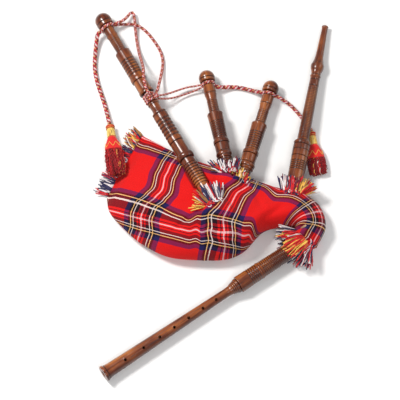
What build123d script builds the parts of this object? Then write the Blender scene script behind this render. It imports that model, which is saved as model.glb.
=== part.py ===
"""Small Highland bagpipes lying flat: bag, five stocks, three drones, blowpipe, chanter, drone cord and tassels.

Millimetres. +Z is up, the floor is z = 0, and the origin is on the bag's flat underside. X runs from the tassel
side to the blowpipe side, Y from the chanter to the drone caps. Every pipe is turned about its own axis: in its
own frame "s" is the distance along the axis, 0 where the pipe comes out of its fringe and growing towards the tip.
"""
from build123d import *
import math
import os

# ---------------------------------------------------------------- driving dimensions
COVER_WALL = 1.2            # tartan cloth
BAG_WALL = 1.5              # airtight bag inside the cover
SKIN_GAP = 0.3              # air between cover and bag
SLIDE_CLEARANCE = 0.05      # radial, hempen joint in its socket
BODY_GAP = 0.4              # between shoulders that face each other on different bodies

# Pipe axes: the point where each pipe leaves its fringe, and the centre of its far end.
BASS_ROOT, BASS_CAP = (-3.5, 6.4, 46.0), (-153.0, 281.8, 14.8)
TENOR_LEFT_ROOT, TENOR_LEFT_CAP = (30.8, 50.8, 34.0), (2.7, 191.8, 14.6)
TENOR_RIGHT_ROOT, TENOR_RIGHT_CAP = (60.0, 36.2, 27.1), (99.6, 175.2, 14.6)
BLOWPIPE_ROOT, BLOWPIPE_TIP = (138.0, 37.5, 24.0), (183.0, 278.4, 6.8)
CHANTER_ROOT, CHANTER_SOLE = (114.5, -95.5, 17.0), (-150.8, -279.8, 13.2)

# Seam where the cover ends on each stock, and the stock's inner end, as distances s.
BASS_SEAM, BASS_INNER = -26.0, -50.0
TENOR_SEAM, TENOR_INNER = -16.0, -30.0
BLOWPIPE_SEAM, BLOWPIPE_INNER = -28.0, -52.0
CHANTER_MOUTH, CHANTER_INNER = -43.0, -54.0

BASS_STOCK_R, TENOR_STOCK_R, BLOWPIPE_STOCK_R, CHANTER_STOCK_R = 9.3, 9.0, 12.3, 12.0
BASS_BORE_R, TENOR_BORE_R, BLOWPIPE_BORE_R, CHANTER_BORE_R = 6.2, 5.4, 6.9, 7.4   # sockets
STOPPER_BORE_R = 4.5        # hole in each drone's cap

# Bag: stations from the tail edge to the neck, each with its upper edge, lower edge and height.
BAG_STATIONS = [
    ((-97, 104), (-148, 6), 8), ((-73, 88), (-143, -23), 24), ((-50, 74), (-123, -49), 38),
    ((-25, 61), (-97, -74), 47), ((2, 50), (-58, -96), 54), ((30, 40), (-15, -102), 57),
    ((58, 30), (28, -101), 56), ((86, 20), (58, -88), 52), ((115, 11), (84, -58), 47),
    ((146, 4), (108, -49), 45), ((172, -16), (125, -49), 44), ((181, -48), (135, -48), 44),
]
# One closed cross-section: share of the width from the upper edge, share of the height.
BAG_SECTION = [
    (0.10, 0.00), (0.03, 0.12), (0.00, 0.36), (0.04, 0.56), (0.14, 0.71), (0.33, 0.79), (0.50, 0.91),
    (0.66, 1.00), (0.82, 0.88), (0.95, 0.62), (1.00, 0.36), (0.97, 0.12), (0.90, 0.00),
]
# The neck bends about its outer edge: the sleeve round the chanter stock begins half a millimetre past the bag.
SLEEVE_STATIONS = [((181, -48.5), (135, -48.5), 44), ((168, -79), (130, -62), 42)]

# Cord diameters
TAIL_D, RIGHT_TAIL_D, SPAN_D, STRAND_D, THIN_D = 7.0, 6.0, 7.5, 5.0, 3.4

# Finger holes of the chanter, as distances s, then the thumb hole and the two vents.
FINGER_HOLES = [120.4, 144.4, 170.5, 196.5, 222.9, 252.2, 285.2]
THUMB_HOLE, VENT_HOLE = 108.0, 303.0
FINGER_HOLE_R, VENT_HOLE_R = 2.3, 2.6

nodes = {}


# ---------------------------------------------------------------- helpers
def axis_plane(root, tip, up=(0, 0, 1)):
    """Frame of a pipe: Z along its axis, X the side of the pipe that faces `up`."""
    along = (Vector(*tip) - Vector(*root)).normalized()
    across = Vector(*up) - along * Vector(*up).dot(along)
    return Plane(origin=root, x_dir=across.normalized(), z_dir=along)


def length_of(root, tip):
    return (Vector(*tip) - Vector(*root)).length


def turned(outline):
    """Solid of revolution about Z. Each outline point is (s, r), or (s, r, bulge) for an arc that ends there."""
    first = outline[0]
    last = outline[-1]
    edges = []
    if first[1] > 0:
        edges.append(Edge.make_line((0, 0, first[0]), (first[1], 0, first[0])))
    for start, end in zip(outline, outline[1:]):
        a, b = Vector(start[1], 0, start[0]), Vector(end[1], 0, end[0])
        if len(end) == 3:
            outward = Vector(b.Z - a.Z, 0, a.X - b.X).normalized()
            edges.append(Edge.make_three_point_arc(a, (a + b) * 0.5 + outward * end[2], b))
        else:
            edges.append(Edge.make_line(a, b))
    edges.append(Edge.make_line((last[1], 0, last[0]), (0, 0, last[0])))
    edges.append(Edge.make_line((0, 0, last[0]), (0, 0, first[0])))
    return revolve(Face(Wire(edges)), Axis.Z)


def rod(start, end, radius, end_radius=None):
    """Cylinder or cone about Z from s = start to s = end."""
    return turned([(start, radius), (end, radius if end_radius is None else end_radius)])


def ring(start, end, inner, outer):
    return rod(start, end, outer) - rod(start - 1, end + 1, inner)


def combed(start, end, r_start, r_end, count, depth, land=0.34):
    """Outline points of `count` round grooves cut in a straight or tapered length."""
    pitch = (end - start) / count
    points = []
    for i in range(count):
        groove_start = start + pitch * (i + land)
        groove_end = start + pitch * (i + 1)
        r_a = r_start + (r_end - r_start) * (groove_start - start) / (end - start)
        r_b = r_start + (r_end - r_start) * (groove_end - start) / (end - start)
        points += [(groove_start, r_a), (groove_end, r_b, -depth)]
    return points


def ribbed(start, end, r_start, r_end, count, height):
    """Outline points of `count` raised round ribs standing side by side."""
    pitch = (end - start) / count
    points = []
    for i in range(count):
        rib_end = start + pitch * (i + 1)
        r_b = r_start + (r_end - r_start) * (i + 1) / count
        points.append((rib_end, r_b, height))
    return points


def cord_tube(route, diameter):
    """A tube of straight runs joined by arcs as large as the runs allow."""
    points = [Vector(*p) for p in route]
    radii = []
    for before, here, after in zip(points, points[1:], points[2:]):
        run_in, run_out = here - before, after - here
        half_turn = math.radians(run_in.get_angle(run_out)) / 2
        radii.append(0.45 * min(run_in.length, run_out.length) / math.tan(half_turn))
    path = FilletPolyline(*points, radius=radii)
    start = Plane(origin=points[0], z_dir=points[1] - points[0])
    tube = sweep(start * Circle(diameter / 2), path=path, transition=Transition.ROUND)
    section = math.pi * diameter ** 2 / 4
    print(f"cord d={diameter} length={path.length:.1f} tightest={min(radii) / diameter:.2f} d "
          f"volume/expected={tube.volume / (section * path.length):.4f}")
    return tube


def floor_cut(solid, level=0.5):
    """The part of a solid that is above the floor."""
    half_space = Box(2000, 2000, 1000, align=(Align.CENTER, Align.CENTER, Align.MIN))
    return solid & half_space.moved(Location((0, 0, level)))


# ---------------------------------------------------------------- pipe frames
bass = axis_plane(BASS_ROOT, BASS_CAP)
tenors = {"left": axis_plane(TENOR_LEFT_ROOT, TENOR_LEFT_CAP),
          "right": axis_plane(TENOR_RIGHT_ROOT, TENOR_RIGHT_CAP)}
blowpipe = axis_plane(BLOWPIPE_ROOT, BLOWPIPE_TIP)
chanter = axis_plane(CHANTER_ROOT, CHANTER_SOLE, up=(0, -0.36, 1))
BASS_LENGTH = length_of(BASS_ROOT, BASS_CAP)
TENOR_LENGTH = length_of(TENOR_LEFT_ROOT, TENOR_LEFT_CAP)
BLOWPIPE_LENGTH = length_of(BLOWPIPE_ROOT, BLOWPIPE_TIP)
CHANTER_LENGTH = length_of(CHANTER_ROOT, CHANTER_SOLE)


def put(name, plane, solid):
    nodes[name] = plane.location * solid


def single_reed(top, bore_r, length, radius):
    """Cane reed hanging below a tenon that ends at s = top: body with a flat, tongue and bridle."""
    low = top - length
    body = rod(low, top + 7, radius) - rod(low + 4, top + 8, radius * 0.5)
    flat = Box(4, 4 * radius, length * 0.72, align=(Align.MIN, Align.CENTER, Align.MIN))
    body -= flat.moved(Location((radius * 0.55, 0, low + 3)))
    body -= rod(low + 3, top + 8, radius * 0.5)
    tongue = Box(0.8, radius * 1.3, length * 0.70, align=(Align.MIN, Align.CENTER, Align.MIN))
    tongue = tongue.moved(Location((radius * 0.55, 0, low + 3.2)))
    bridle = ring(low + 3 + length * 0.55, low + 5.5 + length * 0.55, radius * 0.9, min(radius + 0.9, bore_r - 0.3))
    return body + tongue + bridle


# ---------------------------------------------------------------- bass drone
RING_S = (49.6, 59.4)                    # big ring at the top of the bass stock
BASS_TENON_END = 38.0
BASS_PIN = (157.9, 202.0)                # tuning pin, exposed up to BASS_TOP_START
BASS_TOP_START = 175.9
BASS_CAP_START = BASS_LENGTH - 7.5


def make_bass():
    stock = turned([
        (BASS_INNER, 8.6), (BASS_INNER + 2, BASS_STOCK_R), (1.5, BASS_STOCK_R), *ribbed(1.5, 39.7, BASS_STOCK_R, 10.2, 8, 1.15),
        (40.2, 10.9), (47.6, 10.9), (48.4, 9.9), (RING_S[0], 9.9), (RING_S[0] + 0.6, 12.6),
        (RING_S[1] - 0.6, 12.6, 1.0), (RING_S[1], 11.0),
    ])
    put("bass_stock", bass, stock - rod(BASS_INNER - 1, RING_S[1] + 1, BASS_BORE_R))

    pin_r = BASS_BORE_R - 0.6
    bottom = turned([
        (BASS_TENON_END, pin_r), (RING_S[1] + 0.1, pin_r), (RING_S[1] + 0.1, 10.8), (80.6, 10.9), (81.6, 10.0, -0.4),
        (82.8, 11.4), *combed(88, 126, 11.5, 11.3, 6, 0.9), (134, 11.4), (135.5, 10.4, -0.3), (138.2, 11.2, 0.3),
        (141, 8.0, -0.9), (147, 7.6), (154, 7.9), (155.4, 9.0, 0.4), (BASS_PIN[0], 8.2, 0.3),
        (BASS_PIN[0], pin_r), (BASS_PIN[1], pin_r),
    ])
    bottom -= rod(BASS_TENON_END - 1, BASS_PIN[1] + 1, 2.5)
    put("bass_bottom_section", bass, bottom - rod(BASS_TENON_END - 1, BASS_TENON_END + 7, 3.0))
    put("bass_hemp", bass, ring(42, 56, pin_r, BASS_BORE_R - SLIDE_CLEARANCE)
        + ring(194.5, 201, pin_r, BASS_BORE_R - SLIDE_CLEARANCE))
    put("bass_reed", bass, single_reed(BASS_TENON_END, BASS_BORE_R, 42, 3.0))

    top = turned([
        (BASS_TOP_START, 10.2), (BASS_TOP_START + 0.8, 11.4), (180.8, 11.3, 0.3), (184, 10.7, -0.2), (199.5, 10.5),
        (200.5, 12.0), (207.6, 12.0, 0.4), (208.7, 11.2), *combed(209.5, 240, 11.5, 11.5, 6, 0.9), (254.8, 11.6),
        (256.3, 10.6, 0.4), (259, 7.2, -1.0), *ribbed(259, 283, 7.2, 7.6, 7, 0.5), (287.5, 8.7), (289, 8.7, 0.3),
        (290.2, 7.9, -0.3), (BASS_CAP_START - 7.4, 8.2), (BASS_CAP_START - 6.2, 7.0),
        (BASS_CAP_START + 8.0, 7.0),
    ])
    top -= rod(BASS_TOP_START - 1, 204, BASS_BORE_R)
    put("bass_top_section", bass, top - rod(200, BASS_CAP_START + 9, 3.2))
    put("bass_cap", bass, drone_cap(BASS_CAP_START, 12.6, 21.4, 5.2))


def drone_cap(start, radius, height, groove):
    """Domed ring cap with a groove, its socket on the drone's end, and the hole that the sound comes out of."""
    rim_r = 5.0                          # the dome is a half ball, cut off round the hole
    dome_height = math.sqrt(radius ** 2 - rim_r ** 2)
    half_chord = math.hypot(dome_height, radius - rim_r) / 2
    bulge = radius - math.sqrt(radius ** 2 - half_chord ** 2)
    cap = turned([
        (start, radius - 2.2), (start + 1.6, radius - 0.4, 0.4), (start + groove, radius),
        (start + groove + 1.9, radius - 0.3, -1.0), (start + height - dome_height, radius), (start + height, rim_r, bulge),
    ])
    cap -= rod(start - 1, start + 8.0, 7.0)
    return cap - rod(start + 7, start + height + 1, STOPPER_BORE_R)


# ---------------------------------------------------------------- tenor drones
TENOR_TENON_END = -7.0
TENOR_PIN_END = 53.0
TENOR_TOP_START = 28.2
TENOR_CAP_START = TENOR_LENGTH - 8.0


def make_tenor(side):
    plane = tenors[side]
    name = f"tenor_{side}"
    stock = turned([
        (TENOR_INNER, 8.4), (TENOR_INNER + 2, TENOR_STOCK_R), (-11, TENOR_STOCK_R),
        *combed(-11, 1.4, TENOR_STOCK_R, 9.2, 3, 0.5), (2.2, 9.3), (3.0, 11.0), (5.8, 11.2), (6.8, 11.2, -0.7),
        (12.6, 11.5, 0.9), (13.3, 10.6),
    ])
    put(f"{name}_stock", plane, stock - rod(TENOR_INNER - 1, 14.3, TENOR_BORE_R))

    pin_r = TENOR_BORE_R - 0.5
    bottom = turned([
        (TENOR_TENON_END, pin_r), (13.4, pin_r), (13.4, 10.2), (14.6, 11.3, 0.2), (16.5, 11.0, -0.3), (26.4, 11.4),
        (TENOR_TOP_START - BODY_GAP, 10.6, 0.3), (TENOR_TOP_START - BODY_GAP, pin_r), (TENOR_PIN_END, pin_r),
    ])
    bottom -= rod(TENOR_TENON_END - 1, TENOR_PIN_END + 1, 2.2)
    put(f"{name}_bottom_section", plane, bottom - rod(TENOR_TENON_END - 1, TENOR_TENON_END + 7, 2.6))
    put(f"{name}_hemp", plane, ring(-5, 9, pin_r, TENOR_BORE_R - SLIDE_CLEARANCE)
        + ring(45.5, 52, pin_r, TENOR_BORE_R - SLIDE_CLEARANCE))
    put(f"{name}_reed", plane, single_reed(TENOR_TENON_END, TENOR_BORE_R, 22, 2.6))

    top = turned([
        (TENOR_TOP_START, 10.6), (TENOR_TOP_START + 1.2, 12.0, 0.2), (33.6, 12.0), (34.8, 10.8, 0.2),
        (36.4, 10.5), *combed(36.4, 66, 10.6, 11.4, 8, 0.75), (78.5, 12.0), (81.2, 11.2, 0.5),
        (84.2, 7.9, -0.9), *ribbed(84.2, 105, 7.6, 7.6, 7, 0.5), (113.4, 8.6), (115.2, 8.9, 0.3), (116.4, 8.2, -0.3),
        (118, 9.2), (TENOR_CAP_START - 7.6, 8.8), (TENOR_CAP_START - 6.4, 5.9), (TENOR_CAP_START - 0.6, 5.9),
        (TENOR_CAP_START - 0.1, 7.0), (TENOR_CAP_START + 8.0, 7.0),
    ])
    top -= rod(TENOR_TOP_START - 1, 55, TENOR_BORE_R)
    put(f"{name}_top_section", plane, top - rod(50, TENOR_CAP_START + 9, 2.8))
    put(f"{name}_cap", plane, drone_cap(TENOR_CAP_START, 12.2, 18.2, 3.6))


# ---------------------------------------------------------------- blowpipe
BLOWPIPE_STOCK_TOP = 42.6
BLOWPIPE_START = 43.0
BLOWPIPE_END = 157.0
MOUTHPIECE_START = 157.4


def make_blowpipe():
    stock = turned([
        (BLOWPIPE_INNER, 11.4), (BLOWPIPE_INNER + 2, BLOWPIPE_STOCK_R), (-2, BLOWPIPE_STOCK_R),
        *combed(-2, 15, BLOWPIPE_STOCK_R, 12.6, 5, 0.8), (22, 12.7), (22.8, 11.8, -0.2), (23.8, 12.8),
        (33.0, 12.9), (33.8, 12.3, -0.2), (34.6, 12.9), (BLOWPIPE_STOCK_TOP - 1.2, 12.8), (BLOWPIPE_STOCK_TOP, 11.6, 0.3),
    ])
    stock -= rod(BLOWPIPE_INNER - 1, BLOWPIPE_STOCK_TOP + 1, BLOWPIPE_BORE_R)
    put("blowpipe_stock", blowpipe, stock)

    tenon_r = BLOWPIPE_BORE_R - 0.5
    pipe = turned([
        (20, tenon_r), (BLOWPIPE_START, tenon_r), (BLOWPIPE_START, 11.2), (44.6, 12.6, 0.6), (47.6, 12.6, 0.4),
        (49.2, 11.0, 0.3), (50.2, 9.6, -0.3), (53, 9.0), *combed(53, 139, 9.0, 7.7, 33, 0.5),
        (142, 7.6), (142.9, 7.0, -0.2), (143.8, 7.6), (152.4, 7.5), (153.4, 6.9, -0.2), (154.4, 7.5),
        (BLOWPIPE_END, 7.4),
    ])
    pipe -= rod(19, BLOWPIPE_END + 1, 3.2)
    put("blowpipe", blowpipe, pipe - rod(BLOWPIPE_END - 22, BLOWPIPE_END + 1, 5.0))
    put("blowpipe_hemp", blowpipe, ring(24, 39, tenon_r, BLOWPIPE_BORE_R - SLIDE_CLEARANCE))

    mouthpiece = turned([
        (MOUTHPIECE_START - 20, 5.0 - SLIDE_CLEARANCE), (MOUTHPIECE_START, 5.0 - SLIDE_CLEARANCE),
        (MOUTHPIECE_START, 7.2), (159.0, 7.9), (160.6, 7.9, 0.2), (161.8, 7.2, -0.2), (165.5, 7.4), (170.5, 9.0, -0.2),
        (176, 10.0, 0.25), (179.5, 9.6, 0.3), (186, 7.5, -0.1), (201, 5.8, -0.4), (BLOWPIPE_LENGTH - 7, 4.6),
        (BLOWPIPE_LENGTH - 2, 5.0, -0.15), (BLOWPIPE_LENGTH, 4.2, 0.4),
    ])
    put("mouthpiece", blowpipe, mouthpiece - rod(MOUTHPIECE_START - 21, BLOWPIPE_LENGTH + 1, 2.2))

    seat = ring(BLOWPIPE_INNER - 1, BLOWPIPE_INNER + 6, 4.4, BLOWPIPE_BORE_R)
    seat += ring(BLOWPIPE_INNER - 1.2, BLOWPIPE_INNER, 4.4, 11.2)
    for side in (-1, 1):
        lug = Box(2.6, 1.4, 2.6).moved(Location((VALVE_HINGE_X, side * 4.7, BLOWPIPE_INNER - 2.4)))
        seat += lug
    hinge_bore = (Rot(90, 0, 0) * Cylinder(0.85, 14)).moved(Location((VALVE_HINGE_X, 0, VALVE_HINGE_S)))
    put("valve_seat", blowpipe, seat - hinge_bore)
    flap = rod(VALVE_HINGE_S - 0.5, BLOWPIPE_INNER - 1.5, 7.2)
    tab = Box(3.8, 6.6, 1.0, align=(Align.MIN, Align.CENTER, Align.CENTER))
    pin = (Rot(90, 0, 0) * Cylinder(0.8, 11)).moved(Location((VALVE_HINGE_X, 0, VALVE_HINGE_S)))
    put("valve_flap", blowpipe, flap + tab.moved(Location((5.8, 0, VALVE_HINGE_S))) + pin)


VALVE_HINGE_X = 9.6
VALVE_HINGE_S = BLOWPIPE_INNER - 2.3


# ---------------------------------------------------------------- chanter
CHANTER_STOCK_TOP = 79.4
CHANTER_START = 79.8
CHANTER_TENON_END = 58.0


def make_chanter():
    stock = turned([
        (CHANTER_INNER, 11.0), (CHANTER_INNER + 1.5, CHANTER_STOCK_R), (-6, CHANTER_STOCK_R),
        *combed(-6, 36, CHANTER_STOCK_R, 12.5, 14, 0.55), (39, 12.6), (40.2, 13.2, 0.2), (42.0, 12.6, 0.2),
        *combed(42, 60, 12.7, 12.9, 5, 0.4), (CHANTER_STOCK_TOP - 2.0, 13.1), (CHANTER_STOCK_TOP - 0.4, 12.5, 0.3),
        (CHANTER_STOCK_TOP, 11.5),
    ])
    put("chanter_stock", chanter, stock - rod(CHANTER_INNER - 1, CHANTER_STOCK_TOP + 1, CHANTER_BORE_R))

    tenon_r = CHANTER_BORE_R - 0.5
    pipe = turned([
        (CHANTER_TENON_END, tenon_r), (CHANTER_START, tenon_r), (CHANTER_START, 10.9), (81.6, 11.3, 0.3),
        *ribbed(81.6, 92.6, 10.6, 7.6, 4, 0.55), (94.6, 7.1), (100, 6.8, 0.1), (125, 7.1), (CHANTER_LENGTH - 14, 10.4),
        (CHANTER_LENGTH - 6.2, 11.4, -0.2), (CHANTER_LENGTH - 5.4, 10.9, -0.1), (CHANTER_LENGTH - 3.6, 12.3, 0.2),
        (CHANTER_LENGTH - 0.8, 12.6, 0.2), (CHANTER_LENGTH, 11.8),
    ])
    pipe -= turned([(CHANTER_TENON_END - 1, 2.0), (CHANTER_TENON_END + 4, 2.0), (CHANTER_LENGTH + 1, 5.2)])
    pipe -= rod(CHANTER_TENON_END - 1, CHANTER_TENON_END + 8, 3.2)
    for s in FINGER_HOLES:
        pipe -= (Rot(0, 90, 0) * Cylinder(FINGER_HOLE_R, 20, align=ACROSS)).moved(Location((0, 0, s)))
    pipe -= (Rot(0, -90, 0) * Cylinder(FINGER_HOLE_R, 20, align=ACROSS)).moved(Location((0, 0, THUMB_HOLE)))
    pipe -= (Rot(90, 0, 0) * Cylinder(VENT_HOLE_R, 40)).moved(Location((0, 0, VENT_HOLE)))
    put("chanter", chanter, pipe)
    put("chanter_hemp", chanter, ring(61, 76, tenon_r, CHANTER_BORE_R - SLIDE_CLEARANCE))

    staple = turned([(34, 1.9), (CHANTER_TENON_END - 1, 3.1), (CHANTER_TENON_END + 7, 3.1)])
    staple -= turned([(33, 1.3), (CHANTER_TENON_END - 1, 2.4), (CHANTER_TENON_END + 8, 2.4)])
    put("chanter_reed_staple", chanter, staple)
    blade = loft([Plane.XY.offset(14) * Rectangle(1.6, 10.5), Plane.XY.offset(33) * Rectangle(3.4, 5.0)])
    blades = blade + rod(32.9, 42, 3.3)
    gap = loft([Plane.XY.offset(13) * Rectangle(0.5, 9.5), Plane.XY.offset(33) * Rectangle(2.0, 3.0)])
    blades = blades - gap - rod(32, 43, 2.1)
    put("chanter_reed_blades", chanter, blades - staple)


ACROSS = (Align.CENTER, Align.CENTER, Align.MIN)


# ---------------------------------------------------------------- bag
def shell_blank(stations, inset, before, after):
    """Closed body through the stations, drawn in by `inset` all round and flat underneath.

    `before` and `after` lengthen it (or shorten it, below zero) past its first and last station.
    """
    rows = [(Vector(*upper), Vector(*lower), height) for upper, lower, height in stations]
    first, last = stretched(rows[0], rows[1], before), stretched(rows[-1], rows[-2], after)
    rings = []
    for upper, lower, height in [first] + rows[1:-1] + [last]:
        width_dir = (lower - upper).normalized()
        upper, width = upper + width_dir * inset, (lower - upper).length - 2 * inset
        tall = height - 2 * inset
        rings.append([upper + width_dir * (width * u) + Vector(0, 0, inset + tall * v) for u, v in BAG_SECTION])
    faces = [Face(Wire.make_polygon(rings[0], close=True)), Face(Wire.make_polygon(rings[-1], close=True))]
    for near, far in zip(rings, rings[1:]):
        for i in range(len(near)):
            j = (i + 1) % len(near)
            faces.append(Face(Wire.make_polygon([near[i], near[j], far[j]], close=True)))
            faces.append(Face(Wire.make_polygon([near[i], far[j], far[i]], close=True)))
    return Solid(Shell(faces))


def stretched(station, neighbour, distance):
    """A station moved away from its neighbour, with the taper continued."""
    upper, lower, height = station
    share = distance / (upper - neighbour[0]).length
    return (upper + (upper - neighbour[0]) * share, lower + (lower - neighbour[1]) * share,
            height + (height - neighbour[2]) * share)


# pipe frame, seam, inner end, stock radius, free depth behind the stock, radius of the pipe outside the bag
TIED_STOCKS = [
    (bass, BASS_SEAM, BASS_INNER, BASS_STOCK_R, 5, 11.9),
    (tenors["left"], TENOR_SEAM, TENOR_INNER, TENOR_STOCK_R, 5, 12.8),
    (tenors["right"], TENOR_SEAM, TENOR_INNER, TENOR_STOCK_R, 5, 12.8),
    (blowpipe, BLOWPIPE_SEAM, BLOWPIPE_INNER, BLOWPIPE_STOCK_R, 17, 13.6),
]
TIE_DEPTH, TIE_END = 9.0, 3.0           # the binding's two ends, below the seam
BAG_SLEEVE, BINDING = 1.3, 1.0          # wall of the inner bag on a stock, and of the binding over it
LINER_IN = COVER_WALL + SKIN_GAP


def along_pipe(plane, solid):
    return plane.location * solid


def make_bag():
    """Cover and inner bag: each a shell with a sleeve for every stock and a channel where the stock lies on it."""
    insets = (0, COVER_WALL, LINER_IN, LINER_IN + BAG_WALL)
    layers = [shell_blank(BAG_STATIONS, inset, -inset, past) for inset, past in zip(insets, (0, 3, 0, 3))]
    bindings = []
    for plane, seam, end, r, reach, wide in TIED_STOCKS:
        tie = seam - TIE_DEPTH
        clear = r + BAG_SLEEVE + BINDING + SKIN_GAP
        starts = (seam, seam - COVER_WALL, tie - 0.5, tie - 0.5 - BAG_WALL)
        radii = (r + SKIN_GAP, r + SKIN_GAP + COVER_WALL, clear, clear + BAG_WALL)
        for i, inset in enumerate(insets):
            channel = rod(starts[i], 3, radii[i]) + rod(1 - inset, 110, wide + inset)
            if plane is bass:
                channel += rod(RING_S[0] - 1 - inset, RING_S[1] + 1 + inset, 14 + inset)
            layers[i] -= along_pipe(plane, channel)
        bindings.append(along_pipe(plane, ring(tie, seam - TIE_END, r + BAG_SLEEVE, r + BAG_SLEEVE + BINDING)))
    for plane, seam, end, r, reach, wide in TIED_STOCKS:
        tie = seam - TIE_DEPTH
        clear = r + BAG_SLEEVE + BINDING + SKIN_GAP
        low = end - reach
        collars = (
            turned([(low - 4, r * 0.6), (low, clear + 4), (seam, clear + COVER_WALL)]),
            turned([(low - 2.8, r * 0.55), (low + 0.6, clear + 2.8), (seam - 1, clear), (seam + 1, clear)]),
            turned([(low - 1.5, r * 0.55), (low + 1.5, r + 2.6), (tie - 0.5, r + BAG_SLEEVE),
                    (seam - 1.6, r + BAG_SLEEVE)]),
            turned([(low - 0.1, r * 0.5), (low + 2.4, r + 1.0), (tie - 3, r - 0.1)]),
        )
        for i, solid in enumerate(collars):
            layers[i] += along_pipe(plane, solid)
    outer = layers[0]
    cover, liner = layers[0] - layers[1], layers[2] - layers[3]
    for plane, seam, end, r, reach, wide in TIED_STOCKS:
        cover -= along_pipe(plane, rod(seam - 2, 3, r + 0.15) + rod(1, 110, wide - 0.15))
        liner -= along_pipe(plane, rod(end - 0.5, 3, r + 0.08))
    nodes["bag_cover"], nodes["air_bag"] = largest(cover), largest(liner)
    joined = bindings[0]
    for binding in bindings[1:]:
        joined += binding
    bands = (joined - nodes["air_bag"]).solids()
    nodes["stock_bindings"] = Compound([band for band in bands if band.volume > 50])
    return outer


def make_sleeve():
    """Loose sleeve of the cover round the chanter stock, and the end of the inner bag, tied to that stock."""
    outer, inner = shell_blank(SLEEVE_STATIONS, 0, 0, 0), shell_blank(SLEEVE_STATIONS, COVER_WALL, 3, 3)
    bag_outer = shell_blank(SLEEVE_STATIONS, LINER_IN, 0, -3)
    bag_inner = shell_blank(SLEEVE_STATIONS, LINER_IN + BAG_WALL, 3, -3 - BAG_WALL)
    tied = CHANTER_STOCK_R + BAG_SLEEVE
    bag_outer += along_pipe(chanter, rod(CHANTER_MOUTH - 4, CHANTER_MOUTH + 13, tied))
    stock = along_pipe(chanter, rod(CHANTER_INNER - 0.5, CHANTER_MOUTH + 60, CHANTER_STOCK_R))
    nodes["neck_cover"] = largest(outer - inner - along_pipe(chanter, rod(CHANTER_INNER, 20, tied + SKIN_GAP)))
    nodes["neck_liner"] = largest(bag_outer - bag_inner - stock)
    binding = ring(CHANTER_MOUTH + 8, CHANTER_MOUTH + 12.5, tied, tied + BINDING)
    nodes["chanter_binding"] = along_pipe(chanter, binding) - outer
    return outer


def make_ruffs(bag_outer, sleeve_outer):
    """A flared band of yarn round each stock, and the flat fringe along the bag's tail edge."""
    shapes = {"bass_ruff": (bass, BASS_SEAM, -2, 13.6, 17.5, 3.2),
              "tenor_left_ruff": (tenors["left"], TENOR_SEAM, 0, 13.4, 15.5, 3.2),
              "tenor_right_ruff": (tenors["right"], TENOR_SEAM, 0, 13.4, 15.5, 3.2),
              "blowpipe_ruff": (blowpipe, BLOWPIPE_SEAM, -2, 16.6, 19.5, 3.2),
              "chanter_ruff": (chanter, CHANTER_MOUTH - 4, -2, 18.0, 20.5, 3.2)}
    for name, (plane, start, end, r_start, r_end, wall) in shapes.items():
        band = rod(start, end, r_start, r_end) - rod(start, end, r_start - wall, r_end - wall)
        cut = bag_outer + sleeve_outer
        for other, seam, _, r, _, wide in TIED_STOCKS:
            if other is not plane:
                cut += along_pipe(other, rod(seam, 60, wide + 0.4))
        band = floor_cut(along_pipe(plane, band)) - cut
        for made in [shape for made_name, shape in nodes.items() if made_name.endswith("_ruff")]:
            band -= made
        nodes[name] = largest(band)
    upper, lower, outward = Vector(-97, 104), Vector(-148, 6), Vector(-0.886, 0.463)
    corners = [upper, lower, lower + outward * 20, upper + outward * 23]
    nodes["tail_fringe"] = extrude(Plane.XY.offset(0.8) * make_face(Polyline(*corners, close=True)), 4.0)


def largest(shape):
    return max(shape.solids(), key=lambda solid: solid.volume)


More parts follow.
